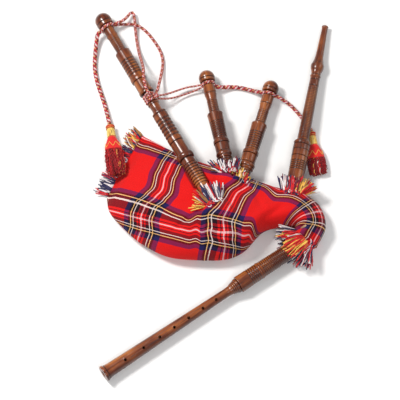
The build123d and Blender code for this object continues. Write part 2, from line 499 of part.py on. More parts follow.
# ---------------------------------------------------------------- drone cord and tassels
WRAP_BASS_S = BASS_CAP_START - 3.1
WRAP_TENOR_S = TENOR_CAP_START - 3.3
KNOT_S = (159.2, 174.2)
CORD_ROUTES = {
    "cord_tail_left": (TAIL_D, [
        (-160.4, 265.8, 15.9), (-163.4, 261, 13.4), (-164, 252.6, 10), (-165.5, 240, 6), (-167.2, 225, 3.8),
        (-167, 207, 3.7), (-163, 187, 3.7), (-156, 166, 3.7), (-149.5, 145, 4.2), (-145.2, 127, 7)]),
    "cord_strand_a": (STRAND_D, [
        (-136.4, 278.8, 19.3), (-130, 281.6, 16.8), (-123.4, 286.6, 13.2), (-119.2, 293, 10.2), (-113.2, 300.2, 8.6),
        (-105.8, 298.8, 8.2), (-104, 290.4, 8.2), (-104.9, 280, 8.4), (-105, 268.5, 6), (-103.8, 256, 3.2),
        (-101.2, 241, 3.6), (-98, 225.5, 11.5), (-94.8, 210.8, 24.5), (-92.8, 197.6, 35.2), (-92.9, 185, 41),
        (-91.2, 173.5, 42.6), (-88.3, 162.4, 43)]),
    "cord_strand_b": (STRAND_D, [
        (-136.4, 278.8, 12.2), (-129.6, 281, 8.2), (-120.5, 282.8, 4.2), (-109, 283.8, 2.7), (-97.5, 279.4, 2.6),
        (-86, 268.5, 2.7), (-74.6, 252.5, 2.6), (-66.4, 237.5, 2.7), (-63.2, 222, 2.9), (-65, 206, 5.5),
        (-67.6, 191, 11.5), (-69.8, 178.5, 18), (-71.6, 168, 23), (-75.6, 159.8, 24.6)]),
    "cord_thin_a": (THIN_D, [
        (-72.8, 155.9, 29.6), (-63.5, 160.3, 23), (-52, 166.6, 15.4), (-38, 174.2, 9.8), (-24.5, 178.8, 9),
        (-15.3, 179, 11.4), (-7.6, 179.4, 15.2)]),
    "cord_thin_b": (THIN_D, [
        (-71.1, 152, 29.8), (-61.5, 154.6, 21.5), (-50.5, 158.8, 13.5), (-38, 164.4, 8), (-26, 169.4, 6.4),
        (-15.6, 172.8, 7.8), (-6.3, 175.7, 11.3)]),
    "cord_span": (SPAN_D, [
        (18.6, 174.8, 17), (26.4, 177.4, 10.4), (37, 180, 5.2), (50, 180, 3.9), (63, 177, 4.3), (73.6, 172.6, 7.8),
        (83.5, 168.5, 13.9)]),
    "cord_tail_right": (RIGHT_TAIL_D, [
        (109.6, 160.8, 15.6), (117.6, 158, 9.6), (128, 152.4, 4.6), (138, 141.8, 3.2), (147, 130.4, 3.1),
        (154.6, 119.4, 4), (160.2, 110, 6.6)]),
}
TASSELS = {"left": ((-144.5, 124.5, 7.6), (-131.6, 30.0, 25.6)), "right": ((161.0, 108.6, 7.0), (172.5, 31.0, 7.6))}


def make_cord():
    for name, (diameter, route) in CORD_ROUTES.items():
        nodes[name] = cord_tube(route, diameter)
    nodes["cord_wrap_bass"] = cord_turn(bass, WRAP_BASS_S, 7.0, 5.4)
    for side, plane in tenors.items():
        nodes[f"cord_wrap_tenor_{side}"] = cord_turn(plane, WRAP_TENOR_S, 5.9, 5.2)
    pin_r = BASS_BORE_R - 0.6
    knot = turned([(KNOT_S[0], 9.6), (KNOT_S[0] + 1, 11.0), *ribbed(KNOT_S[0] + 1, KNOT_S[1] - 1, 10.6, 10.6, 3, 0.7),
                   (KNOT_S[1], 9.4)])
    lump = Sphere(5.5).moved(Location((0, 8.5, 168)))
    nodes["cord_knot"] = bass.location * (knot + lump - rod(KNOT_S[0] - 1, KNOT_S[1] + 1, pin_r))


def cord_turn(plane, s, neck_r, diameter):
    """One turn of cord round a drone's neck."""
    turn = Torus(neck_r + diameter / 2 - 0.05, diameter / 2).moved(Location((0, 0, s)))
    return plane.location * (turn - rod(s - 10, s + 10, neck_r))


def make_tassel(side):
    """Silk tassel lying down: knob, sleeve, felt head, skirt of strands, flattened above and below."""
    start, end = TASSELS[side]
    plane = axis_plane(start, end)
    length = length_of(start, end)
    parts = {
        "knob": turned([(0, 3.4), (1.2, 6.2, 0.6), (3.8, 6.9, 0.8), (5.6, 5.9, 0.5)]),
        "sleeve": turned([(5.8, 5.9), (12, 6.3, 0.1), (20.4, 6.6, 0.1)]),
        "head": turned([(20.6, 6.6), (27, 8.6, 0.5), (38.6, 11.0, 0.4)]),
        "skirt": turned([(38.8, 11.0), (52, 13.8, 0.6), (length - 12, 15.0, 0.5), (length - 2, 14.0, 0.6), (length, 12.0)]),
    }
    slab = Box(13.0, 60, length + 2, align=(Align.CENTER, Align.CENTER, Align.MIN)).moved(Location((0, 0, -1)))
    for name, solid in parts.items():
        put(f"tassel_{side}_{name}", plane, solid & slab)


# ---------------------------------------------------------------- build and write
make_bass()
for tenor_side in tenors:
    make_tenor(tenor_side)
make_blowpipe()
make_chanter()
bag_outer_shape = make_bag()
sleeve_outer_shape = make_sleeve()
make_ruffs(bag_outer_shape, sleeve_outer_shape)
make_cord()
for tassel_side in TASSELS:
    make_tassel(tassel_side)

os.makedirs("parts", exist_ok=True)
for node, shape in nodes.items():
    export_step(shape, f"parts/{node}.step")
print(len(nodes), "nodes written")
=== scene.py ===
"""Bagpipes laid flat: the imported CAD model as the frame, with cloth, yarn, cord, silk and rosewood looks."""
import math
import random

import bmesh
import bpy
from mathutils import Matrix, Vector
from mathutils.noise import noise


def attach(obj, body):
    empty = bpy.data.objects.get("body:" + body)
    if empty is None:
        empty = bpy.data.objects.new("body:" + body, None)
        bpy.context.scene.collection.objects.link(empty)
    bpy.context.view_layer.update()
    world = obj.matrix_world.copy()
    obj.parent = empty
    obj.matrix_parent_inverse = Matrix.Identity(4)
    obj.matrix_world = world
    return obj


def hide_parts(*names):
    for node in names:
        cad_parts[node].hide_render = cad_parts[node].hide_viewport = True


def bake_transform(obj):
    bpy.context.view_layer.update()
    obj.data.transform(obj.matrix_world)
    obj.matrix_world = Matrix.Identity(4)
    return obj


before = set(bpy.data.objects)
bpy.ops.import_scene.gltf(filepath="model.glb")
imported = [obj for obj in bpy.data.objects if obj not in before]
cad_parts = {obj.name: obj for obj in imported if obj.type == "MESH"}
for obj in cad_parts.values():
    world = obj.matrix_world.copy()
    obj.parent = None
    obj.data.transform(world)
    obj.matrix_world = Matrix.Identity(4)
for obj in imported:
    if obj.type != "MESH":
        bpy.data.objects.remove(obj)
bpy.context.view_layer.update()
scene = bpy.context.scene
MM = 0.001

# ---- pipe axes, as in the CAD (millimetres)
PIPES = {
    "bass": ((-3.5, 6.4, 46.0), (-153.0, 281.8, 14.8), "bag"),
    "tenor_left": ((30.8, 50.8, 34.0), (2.7, 191.8, 14.6), "bag"),
    "tenor_right": ((60.0, 36.2, 27.1), (99.6, 175.2, 14.6), "bag"),
    "blowpipe": ((138.0, 37.5, 24.0), (183.0, 278.4, 6.8), "bag"),
    "chanter": ((114.5, -95.5, 17.0), (-150.8, -279.8, 13.2), "chanter_unit"),
}


def pipe_frame(name):
    """Root point, and the along, up and side directions of a pipe. Lengths in metres."""
    root, tip, _ = PIPES[name]
    root, tip = Vector(root) * MM, Vector(tip) * MM
    along = (tip - root).normalized()
    up = (Vector((0, 0, 1)) - along * along.z).normalized()
    return root, along, up, along.cross(up)


# ---- camera, lights, floor
CAMERA_ELEVATION = math.radians(70)
CAMERA_DISTANCE = 8.0
CAMERA_TARGET = Vector((-0.0075, -0.0073, 0.020))
VIEW_WIDTH = 0.600
SENSOR = 36
FLOOR_LEVEL = -0.0006
# Round lights that point at the origin: place, size, power, colour.
LIGHTS = {
    "key": ((-1.0, 0.5, 1.8), 0.55, 40, (1, 0.98, 0.95)),
    "front": ((0.3, -1.3, 1.9), 0.6, 14, (1, 1, 1)),
    "fill": ((1.6, 0.6, 1.1), 0.9, 5, (0.95, 0.97, 1)),
}
SKY_STRENGTH = 0.42


def add_to_scene(name, data):
    obj = bpy.data.objects.new(name, data)
    scene.collection.objects.link(obj)
    return obj


def aim(obj, place, target):
    """Puts a camera or light at a place, turned to look at the target."""
    obj.location = place
    obj.rotation_mode = "QUATERNION"
    obj.rotation_quaternion = (target - place).to_track_quat("-Z", "Y")


def make_camera():
    back = Vector((0, -math.cos(CAMERA_ELEVATION), math.sin(CAMERA_ELEVATION)))
    data = bpy.data.cameras.new("camera")
    data.sensor_width = SENSOR
    data.lens = SENSOR * CAMERA_DISTANCE / VIEW_WIDTH
    data.clip_start, data.clip_end = 0.05, 50
    scene.camera = add_to_scene("camera", data)
    aim(scene.camera, CAMERA_TARGET + back * CAMERA_DISTANCE, CAMERA_TARGET)


def make_studio():
    for name, (place, size, power, color) in LIGHTS.items():
        data = bpy.data.lights.new(name, "AREA")
        data.shape, data.size, data.energy, data.color = "DISK", size, power, color
        aim(add_to_scene(name, data), Vector(place), Vector())
    world = bpy.data.worlds.new("studio")
    world.use_nodes = True
    background = world.node_tree.nodes["Background"].inputs
    background["Color"].default_value = (1, 1, 1, 1)
    background["Strength"].default_value = SKY_STRENGTH
    scene.world = world
    scene.view_settings.view_transform = "Standard"
    bpy.ops.mesh.primitive_plane_add(size=8, location=(0, 0, FLOOR_LEVEL))
    floor = bpy.context.object
    floor.name = "studio_floor"
    floor.data.materials.append(plain_material("floor_paper", (0.86, 0.86, 0.86), 0.9))


# ---- node helpers
class Shader:
    """A material's node tree. A socket's value may be a number, a tuple or another socket."""

    def __init__(self, name, roughness=0.5):
        self.material = bpy.data.materials.new(name)
        self.material.use_nodes = True
        self.tree = self.material.node_tree
        self.bsdf = self.tree.nodes["Principled BSDF"]
        self.set(self.bsdf, "Roughness", roughness)

    def set(self, node, socket, value):
        target = node.inputs[socket]
        if isinstance(value, bpy.types.NodeSocket):
            self.tree.links.new(value, target)
        else:
            target.default_value = value

    def node(self, kind, output=0, settings=None, **inputs):
        node = self.tree.nodes.new(kind)
        for key, value in (settings or {}).items():
            setattr(node, key, value)
        for key, value in inputs.items():
            name = int(key[1:]) if key[0] == "_" and key[1:].isdigit() else key.replace("_", " ")
            self.set(node, name, value)
        return node.outputs[output]

    def math(self, operation, a, b=0.0):
        return self.node("ShaderNodeMath", settings={"operation": operation}, _0=a, _1=b)

    def add(self, a, b):
        return self.math("ADD", a, b)

    def minus(self, a, b):
        return self.math("SUBTRACT", a, b)

    def times(self, a, b):
        return self.math("MULTIPLY", a, b)

    def mix(self, factor, a, b, blend="MIX"):
        settings = {"data_type": "RGBA", "blend_type": blend}
        return self.node("ShaderNodeMix", 2, settings, _0=factor, _6=a, _7=b)

    def noise(self, vector, scale, detail=3.0, roughness=0.55, distortion=0.0):
        return self.node("ShaderNodeTexNoise", Vector=vector, Scale=scale, Detail=detail, Roughness=roughness,
                         Distortion=distortion)

    def place(self):
        """Coordinates that stay with the piece."""
        return self.node("ShaderNodeTexCoord", 3)

    def split(self, vector):
        node = self.tree.nodes.new("ShaderNodeSeparateXYZ")
        self.set(node, 0, vector)
        return node.outputs

    def spread(self, value, low, high, at_low, at_high):
        """The value's range from low to high, mapped onto another."""
        return self.node("ShaderNodeMapRange", _0=value, _1=low, _2=high, _3=at_low, _4=at_high)

    def ramp(self, factor, stops, constant=False):
        node = self.tree.nodes.new("ShaderNodeValToRGB")
        node.color_ramp.interpolation = "CONSTANT" if constant else "LINEAR"
        elements = node.color_ramp.elements
        while len(elements) < len(stops):
            elements.new(0.5)
        for element, (position, _) in zip(elements, stops):
            element.position = position
        for element, (_, color) in zip(elements, stops):
            element.color = (*color, 1)
        self.set(node, 0, factor)
        return node.outputs[0]

    def bump(self, height, strength, distance):
        return self.node("ShaderNodeBump", Height=height, Strength=strength, Distance=distance)

    def finish(self, color, normal, **inputs):
        self.set(self.bsdf, "Base Color", color)
        self.set(self.bsdf, "Normal", normal)
        for key, value in inputs.items():
            self.set(self.bsdf, key.replace("_", " "), value)
        return self.material


def scaled(color, factor):
    return tuple(c * factor for c in color)


def plain_material(name, color, roughness):
    """Paper or plastic with a faint mottling."""
    s = Shader(name, roughness)
    place = s.place()
    fine = s.noise(place, 180.0)
    return s.finish(s.mix(fine, (*color, 1), (*scaled(color, 0.97), 1)), s.bump(fine, 0.05, 0.0005))


# ---- materials
# Painted shade in the turned grooves of each pipe, in millimetres along it: rows of cut grooves (start, end,
# count), rows of ribs (start, end, count), and single cuts (middle, half width).
GROOVES = {
    "bass": (
        [(88, 126, 6), (209.5, 240, 6)], [(1.5, 39.7, 8), (259, 283, 7)],
        [(48.9, 1.2), (81.8, 1.2), (135.6, 1.0), (175.9, 1.0), (200.2, 0.8), (256.6, 1.0), (313.6, 1.4)]),
    "tenor": (
        [(-11, 1.4, 3), (36.4, 66, 8)], [(84.2, 105, 7)],
        [(6.3, 0.9), (13.3, 0.9), (28.0, 1.0), (34.9, 0.9), (83.0, 0.9), (116.4, 0.8), (141.6, 1.4)]),
    "blowpipe": (
        [(-2, 15, 5), (53, 139, 33)], [],
        [(22.8, 0.9), (33.8, 0.9), (42.8, 0.9), (50.3, 1.0), (142.9, 0.9), (153.4, 0.9), (162.0, 0.9)]),
    "chanter": ([(-6, 36, 14), (42, 60, 5)], [(81.6, 92.6, 4)], [(39.4, 0.7), (79.6, 0.8), (317.2, 0.9)]),
}
LAND = 0.34      # the share of a cut groove's pitch that isn't cut


# The dark brown that is painted into the turned grooves as shade.
PAINTED_GROOVE_SHADE = (0.022, 0.005, 0.003, 1)
# The dark brown that is painted as shade on the faces turned away from the light.
PAINTED_FAR_SIDE_SHADE = (0.030, 0.005, 0.002, 1)
LIT_DIRECTION = (-0.45, 0.10, 0.88)     # fixed in the room: faces turned away from it are darker


def painted_groove_shade_mask(s, travel, cut_rows, rib_rows, single):
    """Where painted shade goes: 1 in the grooves and 0 between them. travel is the distance along the pipe in
    millimetres.
    """
    groove_shade = 0.0
    rows = [(a, b, (b - a) / n, (1 + LAND) / 2, (1 - LAND) / 2) for a, b, n in cut_rows]
    rows += [(a, b, (b - a) / n, 0.0, 0.30) for a, b, n in rib_rows]
    for start, end, pitch, middle, half in rows:
        phase = s.math("DIVIDE", s.minus(travel, start + middle * pitch), pitch)
        away = s.math("PINGPONG", s.math("ABSOLUTE", phase), 0.5)
        here = s.times(s.math("GREATER_THAN", travel, start), s.math("LESS_THAN", travel, end))
        groove = s.spread(away, half * 0.35, half, 1.0, 0.0)
        groove_shade = s.math("MAXIMUM", groove_shade, s.times(groove, here))
    for middle, half in single:
        away = s.math("ABSOLUTE", s.minus(travel, middle))
        groove_shade = s.math("MAXIMUM", groove_shade, s.spread(away, half * 0.4, half, 1.0, 0.0))
    return groove_shade


def rosewood(name, root, along, up, cuts):
    """Varnished rosewood with streaks along the pipe and dark pores, with painted shade in the grooves and
    painted shade on the faces turned away from the light.
    """
    s = Shader(name, 0.3)
    turn = Matrix((up, along.cross(up), along)).to_euler()
    local = s.node("ShaderNodeMapping", Vector=s.place(), Rotation=tuple(turn))
    streak_space = s.node("ShaderNodeMapping", Vector=local, Scale=(1, 1, 0.075))
    broad = s.noise(streak_space, 95.0, 4.0, 0.6, 0.6)
    fine = s.noise(streak_space, 420.0, 3.0, 0.6, 0.2)
    patch = s.noise(local, 28.0, 2.0)
    tone = s.add(s.times(broad, 0.62), s.times(patch, 0.38))
    wood = s.ramp(tone, [
        (0.32, (0.045, 0.007, 0.003)), (0.44, (0.130, 0.026, 0.007)), (0.53, (0.245, 0.062, 0.014)),
        (0.63, (0.38, 0.120, 0.026)), (0.74, (0.50, 0.185, 0.044))])
    pores = s.ramp(fine, [(0.36, (0.30, 0.24, 0.22)), (0.47, (1, 1, 1))])
    color = s.mix(0.8, wood, pores, "MULTIPLY")
    travel = s.times(s.minus(s.split(local)[2], root.dot(along)), 1000.0)
    # Painted shade: the wood is mixed towards a dark brown in the grooves.
    color = s.mix(s.times(painted_groove_shade_mask(s, travel, *cuts), 0.80), color, PAINTED_GROOVE_SHADE)
    # Painted shade: faces turned away from LIT_DIRECTION are mixed towards a dark brown, by up to 0.62.
    facing = s.node("ShaderNodeVectorMath", 1, {"operation": "DOT_PRODUCT"},
                    _0=s.node("ShaderNodeNewGeometry", 1), _1=LIT_DIRECTION)
    color = s.mix(s.spread(facing, -0.1, 0.8, 0.62, 0.0), color, PAINTED_FAR_SIDE_SHADE)
    return s.finish(color, s.bump(fine, 0.12, 0.0004), Roughness=s.spread(fine, 0.3, 0.7, 0.34, 0.20),
                    Coat_Weight=0.35, Coat_Roughness=0.2, Specular_IOR_Level=0.35)


WOOL = {"red": (0.72, 0.008, 0.008), "blue": (0.016, 0.011, 0.085), "black": (0.005, 0.003, 0.010),
        "green": (0.016, 0.004, 0.010), "yellow": (0.90, 0.50, 0.18), "white": (0.80, 0.66, 0.62),
        "rose": (0.86, 0.50, 0.52)}
# How far each thread stands out over the thread that it crosses.
PROUD = {"red": 0.0, "blue": 0.34, "black": 0.50, "green": 0.34, "yellow": 0.84, "white": 0.80, "rose": 0.52}
# Half the sett, from the middle of the stripe group outwards, in millimetres.
HALF_SETT = 57.0
SETT = [(0, "rose"), (0.85, "red"), (3.0, "black"), (4.2, "red"), (6.7, "green"), (11.8, "white"),
        (12.8, "black"), (15.6, "yellow"), (16.9, "black"), (20.2, "blue"), (26.6, "red")]
TWILL_PITCH = 0.0014


def tartan(name):
    """Royal-style sett woven from two thread directions, read from the cloth's own coordinates in metres."""
    s = Shader(name, 0.85)
    coordinates = s.node("ShaderNodeUVMap", settings={"uv_map": "cloth"})
    across = s.split(coordinates)
    wobble = s.times(s.minus(s.noise(coordinates, 260.0, 2.0), 0.5), 0.0007)
    threads, proud = [], []
    for axis in (0, 1):
        distance = s.math("PINGPONG", s.add(across[axis], wobble), HALF_SETT * MM)
        share = s.math("DIVIDE", distance, HALF_SETT * MM)
        stops = [(start / HALF_SETT, color) for start, color in SETT]
        threads.append(s.ramp(share, [(at, WOOL[color]) for at, color in stops], constant=True))
        proud.append(s.ramp(share, [(at, (PROUD[color],) * 3) for at, color in stops], constant=True))
    diagonal = s.add(across[0], across[1])
    twill = s.math("SINE", s.times(diagonal, 2 * math.pi / TWILL_PITCH))
    balance = s.spread(twill, -1.0, 1.0, 0.30, 0.70)
    favour = s.times(s.minus(proud[1], proud[0]), 0.62)
    cloth = s.mix(s.add(balance, favour), threads[0], threads[1])
    fuzz = s.noise(coordinates, 900.0, 2.0)
    color = s.mix(1.0, cloth, s.ramp(fuzz, [(0.3, (0.74, 0.74, 0.74)), (0.7, (1.0, 1.0, 1.0))]), "MULTIPLY")
    weave = s.add(s.times(twill, 0.5), fuzz)
    return s.finish(color, s.bump(weave, 0.35, 0.0004), Sheen_Weight=0.06, Sheen_Roughness=0.5,
                    Specular_IOR_Level=0.12)


def yarn_material(name, color, rough=0.8, sheen=0.08):
    """Spun thread: fine twisted fibres with light and dark strands."""
    s = Shader(name, rough)
    place = s.place()
    fibres = s.noise(place, 1500.0, 2.0, 0.6, 0.4)
    tint = s.noise(place, 160.0, 2.0)
    light = tuple(min(1.0, c * 1.18 + 0.01) for c in color)
    tone = s.add(s.times(fibres, 0.65), s.times(tint, 0.35))
    return s.finish(s.ramp(tone, [(0.34, scaled(color, 0.55)), (0.62, light)]), s.bump(fibres, 0.5, 0.0004),
                    Sheen_Weight=sheen, Sheen_Roughness=0.4, Specular_IOR_Level=0.25)


def felt_material(name, color):
    s = Shader(name, 0.9)
    fuzz = s.noise(s.place(), 900.0, 4.0, 0.7)
    return s.finish(s.ramp(fuzz, [(0.35, scaled(color, 0.7)), (0.65, color)]), s.bump(fuzz, 0.6, 0.0005),
                    Sheen_Weight=0.5, Sheen_Roughness=0.4)


def cane_material():
    s = Shader("cane_reed", 0.5)
    fibre = s.noise(s.place(), 500.0, 3.0)
    color = s.ramp(fibre, [(0.3, (0.42, 0.26, 0.08)), (0.7, (0.72, 0.55, 0.25))])
    return s.finish(color, s.bump(fibre, 0.2, 0.0003))


def metal_material(name, color):
    s = Shader(name, 0.3)
    scratch = s.noise(s.place(), 700.0, 2.0)
    tint = s.ramp(scratch, [(0.3, scaled(color, 0.8)), (0.7, color)])
    return s.finish(tint, s.bump(scratch, 0.05, 0.0002), Metallic=1.0,
                    Roughness=s.spread(scratch, 0.3, 0.7, 0.25, 0.42))


def leather_material(name, color):
    s = Shader(name, 0.6)
    place = s.place()
    grain = s.node("ShaderNodeTexVoronoi", Vector=place, Scale=650.0)
    tone = s.noise(place, 60.0, 3.0)
    return s.finish(s.ramp(tone, [(0.3, scaled(color, 0.6)), (0.7, color)]), s.bump(grain, 0.3, 0.0004))


# ---- mesh helpers
def keep_piece(piece, body, node=None):
    """Puts a finished piece on its body, in the place of a CAD node where it has one."""
    if node:
        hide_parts(node)
    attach(piece, body)


def mesh_object(name, verts, faces, materials, indices=None):
    mesh = bpy.data.meshes.new(name)
    mesh.from_pydata([tuple(v) for v in verts], [], faces)
    for material in materials:
        mesh.materials.append(material)
    if indices is not None:
        mesh.polygons.foreach_set("material_index", indices)
    mesh.polygons.foreach_set("use_smooth", [True] * len(mesh.polygons))
    mesh.validate()
    mesh.update()
    return add_to_scene(name, mesh)


def swung(first, second, angle):
    """The direction at an angle from the first of two square directions towards the second."""
    return first * math.cos(angle) + second * math.sin(angle)


def turn_share(k, count):
    return 2 * math.pi * k / count


def frames_along(points, closed):
    """Each point with two directions across the line, carried along it without twisting."""
    count, normal, frames = len(points), None, []
    for i, point in enumerate(points):
        before = points[i - 1] if closed or i else point
        after = points[(i + 1) % count] if closed else points[min(i + 1, count - 1)]
        tangent = (after - before).normalized()
        if normal is None:
            normal = tangent.orthogonal().normalized()
        normal = (normal - tangent * normal.dot(tangent)).normalized()
        frames.append((point, normal, tangent.cross(normal)))
    return frames


def ring_faces(a, b, count):
    """Faces between two rings of vertices, which start at a and b."""
    return [(a + k, b + k, b + (k + 1) % count, a + (k + 1) % count) for k in range(count)]


class Tubes:
    """Collects many round strands in one mesh, each with its own material index."""

    def __init__(self):
        self.verts, self.faces, self.indices = [], [], []

    def add(self, points, radius, sides=6, index=0, taper=None, closed=False):
        """A strand through the points. taper(t) scales its radius along it."""
        count, first = len(points), len(self.verts)
        for i, (point, normal, side) in enumerate(frames_along(points, closed)):
            size = radius * (taper(i / max(count - 1, 1)) if taper else 1)
            self.verts += [point + swung(normal, side, turn_share(k, sides)) * size for k in range(sides)]
        rings = count if closed else count - 1
        for i in range(rings):
            a, b = first + i * sides, first + ((i + 1) % count) * sides
            self.faces += [(a + k, a + (k + 1) % sides, b + (k + 1) % sides, b + k) for k in range(sides)]
        self.indices += [index] * (rings * sides)
        if not closed:
            last = first + (count - 1) * sides
            self.faces.append(tuple(first + k for k in reversed(range(sides))))
            self.faces.append(tuple(last + k for k in range(sides)))
            self.indices += [index, index]

    def build(self, name, materials):
        return mesh_object(name, self.verts, self.faces, materials, self.indices)


def catmull(values, t):
    """Catmull-Rom through equally spaced values, at t from 0 to len - 1."""
    i = min(int(t), len(values) - 2)
    f = t - i
    p1, p2 = values[i], values[i + 1]
    p0 = values[i - 1] if i else p1 * 2 - p2
    p3 = values[i + 2] if i + 2 < len(values) else p2 * 2 - p1
    return 0.5 * (2 * p1 + (p2 - p0) * f + (2 * p0 - 5 * p1 + 4 * p2 - p3) * f * f
                  + (3 * p1 - p0 - 3 * p2 + p3) * f ** 3)


def smooth_line(points, steps):
    """The Catmull-Rom line through 2-D points, in so many steps between each two."""
    points = [Vector((*point, 0)) for point in points]
    return [catmull(points, i / steps) for i in range((len(points) - 1) * steps + 1)]


# ---- drone cord
# The routes of the CAD's cords: diameter and points, in millimetres.
CORDS = {
    "cord_tail_left": (7.0, [
        (-156.8, 267.6, 15.9), (-160.4, 265.2, 15.6), (-163.4, 260.6, 13.4), (-164.4, 252.6, 10),
        (-165.9, 240, 6),
        (-167.2, 225, 3.8), (-167, 207, 3.7), (-163, 187, 3.7), (-156, 166, 3.7), (-149.5, 145, 4.2),
        (-144.1, 119.1, 8.6)]),
    "cord_strand_a": (5.0, [
        (-140.2, 276.6, 18.6), (-135.6, 278.8, 19), (-129.6, 281.4, 16.8), (-123.6, 286, 13.2),
        (-118.4, 292.4, 10.2),
        (-113.8, 299.6, 8.6), (-109, 300.6, 8.2), (-107, 291.6, 8.2), (-106, 280, 8.4), (-105.2, 268.5, 6),
        (-103.6, 256, 3.2), (-101, 241, 3.6), (-98, 225.5, 11.5), (-94.8, 210.8, 24.5), (-92.8, 197.6, 35.2),
        (-92.9, 185, 41), (-91.2, 173.5, 42.4), (-88.3, 162.4, 42.4), (-85.6, 157.4, 41)]),
    "cord_strand_b": (5.0, [
        (-140, 276.8, 13.2), (-135.8, 278.6, 12.2), (-129.6, 281, 8.2), (-120.5, 282.8, 4.2),
        (-109, 283.8, 2.7),
        (-97.5, 279.4, 2.6), (-86, 268.5, 2.7), (-74.6, 252.5, 2.6), (-66.4, 237.5, 2.7), (-63.2, 222, 2.9),
        (-65, 206, 5.5), (-67.6, 191, 11.5), (-69.8, 178.5, 18), (-71.6, 168, 23), (-75.6, 159.8, 24.6)]),
    "cord_thin_a": (3.4, [
        (-74.4, 156.2, 30.2), (-63.5, 160.3, 23), (-52, 166.6, 15.4), (-38, 174.2, 9.8), (-24.5, 178.8, 9),
        (-15.3, 179, 11.4), (-7.6, 179.4, 15.2), (-3.4, 179.4, 16.4)]),
    "cord_thin_b": (3.4, [
        (-72.6, 152, 30.4), (-61.5, 154.6, 21.5), (-50.5, 158.8, 13.5), (-38, 164.4, 8), (-26, 169.4, 6.4),
        (-15.6, 172.8, 7.8), (-6.3, 176.2, 11.6), (-2.6, 178, 13.6)]),
    "cord_span": (7.0, [
        (12.2, 179.6, 15), (18.2, 176, 15.6), (26.4, 177.4, 10.4), (37, 180, 5.2), (50, 180, 3.9),
        (63, 177, 4.3),
        (73.6, 172.6, 7.8), (83.5, 168.5, 13.9), (89, 166.4, 15.2)]),
    "cord_tail_right": (6.0, [
        (104.2, 162.4, 15.2), (109.6, 160.8, 15.2), (117.6, 158, 9.6), (128, 152.4, 4.6), (138, 141.8, 3.2),
        (147, 130.4, 3.1), (154.6, 119.4, 4), (160.8, 108.4, 6.8)]),
}
# The step between the evenly spaced points of a cord's line, in metres.
PATH_STEP = 0.0012


def nurbs_line(name, points):
    """Points along the route's own smooth NURBS line, in metres."""
    curve = bpy.data.curves.new(name, "CURVE")
    curve.dimensions = "3D"
    curve.resolution_u = 40
    spline = curve.splines.new("NURBS")
    spline.points.add(len(points) - 1)
    for control, point in zip(spline.points, points):
        control.co = (*(Vector(point) * MM), 1)
    spline.order_u = 3
    spline.use_endpoint_u = True
    obj = add_to_scene(name, curve)
    mesh = bpy.data.meshes.new_from_object(obj)
    line = [vertex.co.copy() for vertex in mesh.vertices]
    bpy.data.objects.remove(obj)
    bpy.data.curves.remove(curve)
    bpy.data.meshes.remove(mesh)
    return line


def evenly(line, step):
    """The same line with points a fixed step apart."""
    result, travelled, target = [line[0].copy()], 0.0, step
    for a, b in zip(line, line[1:]):
        run = (b - a).length
        while run > 0 and travelled + run >= target:
            result.append(a.lerp(b, (target - travelled) / run))
            target += step
        travelled += run
    if (result[-1] - line[-1]).length > step * 0.3:
        result.append(line[-1].copy())
    return result


BRAID = [(0, 1, 0, 3), (0, 1, 3, 2)]    # red, white, gold and dark threads, each way round
BRAID_PITCH = 1.8                       # in cord diameters, as the thread's radius is
BRAID_THREAD = 0.165


def braid(tubes, line, diameter, closed=False):
    """A round braid of eight threads that follows the line."""
    pitch = diameter * BRAID_PITCH
    if closed:
        total = sum((b - a).length for a, b in zip(line, line[1:] + line[:1]))
        pitch = total / max(1, round(total / pitch))
    step = pitch / 24
    points = evenly(line + line[:1], step)[:-1] if closed else evenly(line, step)
    thread = diameter * BRAID_THREAD
    reach = diameter / 2 - thread * 1.40
    frames = frames_along(points, closed)
    for turn, colors in zip((1, -1), BRAID):
        for k, color in enumerate(colors):
            strand = []
            for i, (point, normal, side) in enumerate(frames):
                travel = i * step / pitch
                lift = reach + turn * thread * 0.42 * math.cos(2 * math.pi * 4 * travel)
                strand.append(point + swung(normal, side, 2 * math.pi * (k / 4 + turn * travel)) * lift)
            tubes.add(strand, thread, 5, color, closed=closed)


def cord_piece(name, line, diameter, materials):
    tubes = Tubes()
    braid(tubes, line, diameter)
    return tubes.build(name, materials)


def make_cords(materials):
    for name, (diameter, route) in CORDS.items():
        line = nurbs_line(name, route)
        if name == "cord_span":
            # The span is made as two cords, one from each tenor's end, that meet in its middle.
            line = evenly(line, PATH_STEP)
            far = line[len(line) // 2:][::-1]
            line = line[:len(line) // 2 + 1]
            half = cord_piece(f"{name}_braid_right", far, diameter * MM, materials)
            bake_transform(half)
        cord = cord_piece(f"{name}_braid", line, diameter * MM, materials)
        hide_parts(name)
        [tuple(p) for p in evenly(line, PATH_STEP)]
        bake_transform(cord)


# Turns of cord round the pipes, in metres: the piece, then its node, body, pipe, place along the pipe,
# the radius that it lies on, the cord's diameter, how many turns, how far apart, how far they lean, and
# its small knots.
WINDINGS = {
    "winding_bass": ("cord_wrap_bass", "bass_top", "bass", 0.3041, 0.0070, 0.0050, 1, 0, 0.0004, []),
    "winding_tenor_left": ("cord_wrap_tenor_left", "tenor_left_top", "tenor_left",
                           0.1336, 0.0059, 0.0050, 1, 0, 0.0004, []),
    "winding_tenor_right": ("cord_wrap_tenor_right", "tenor_right_top", "tenor_right",
                            0.1336, 0.0059, 0.0050, 1, 0, 0.0004, []),
    "winding_knot": ("cord_knot", "bag", "bass", 0.1667, 0.0056, 0.0049, 3, 0.0047, 0.0003,
                     [((0.0015, 0.0098, 0.1668), 0.0042), ((0.0098, -0.0010, 0.1690), 0.0046)]),
}


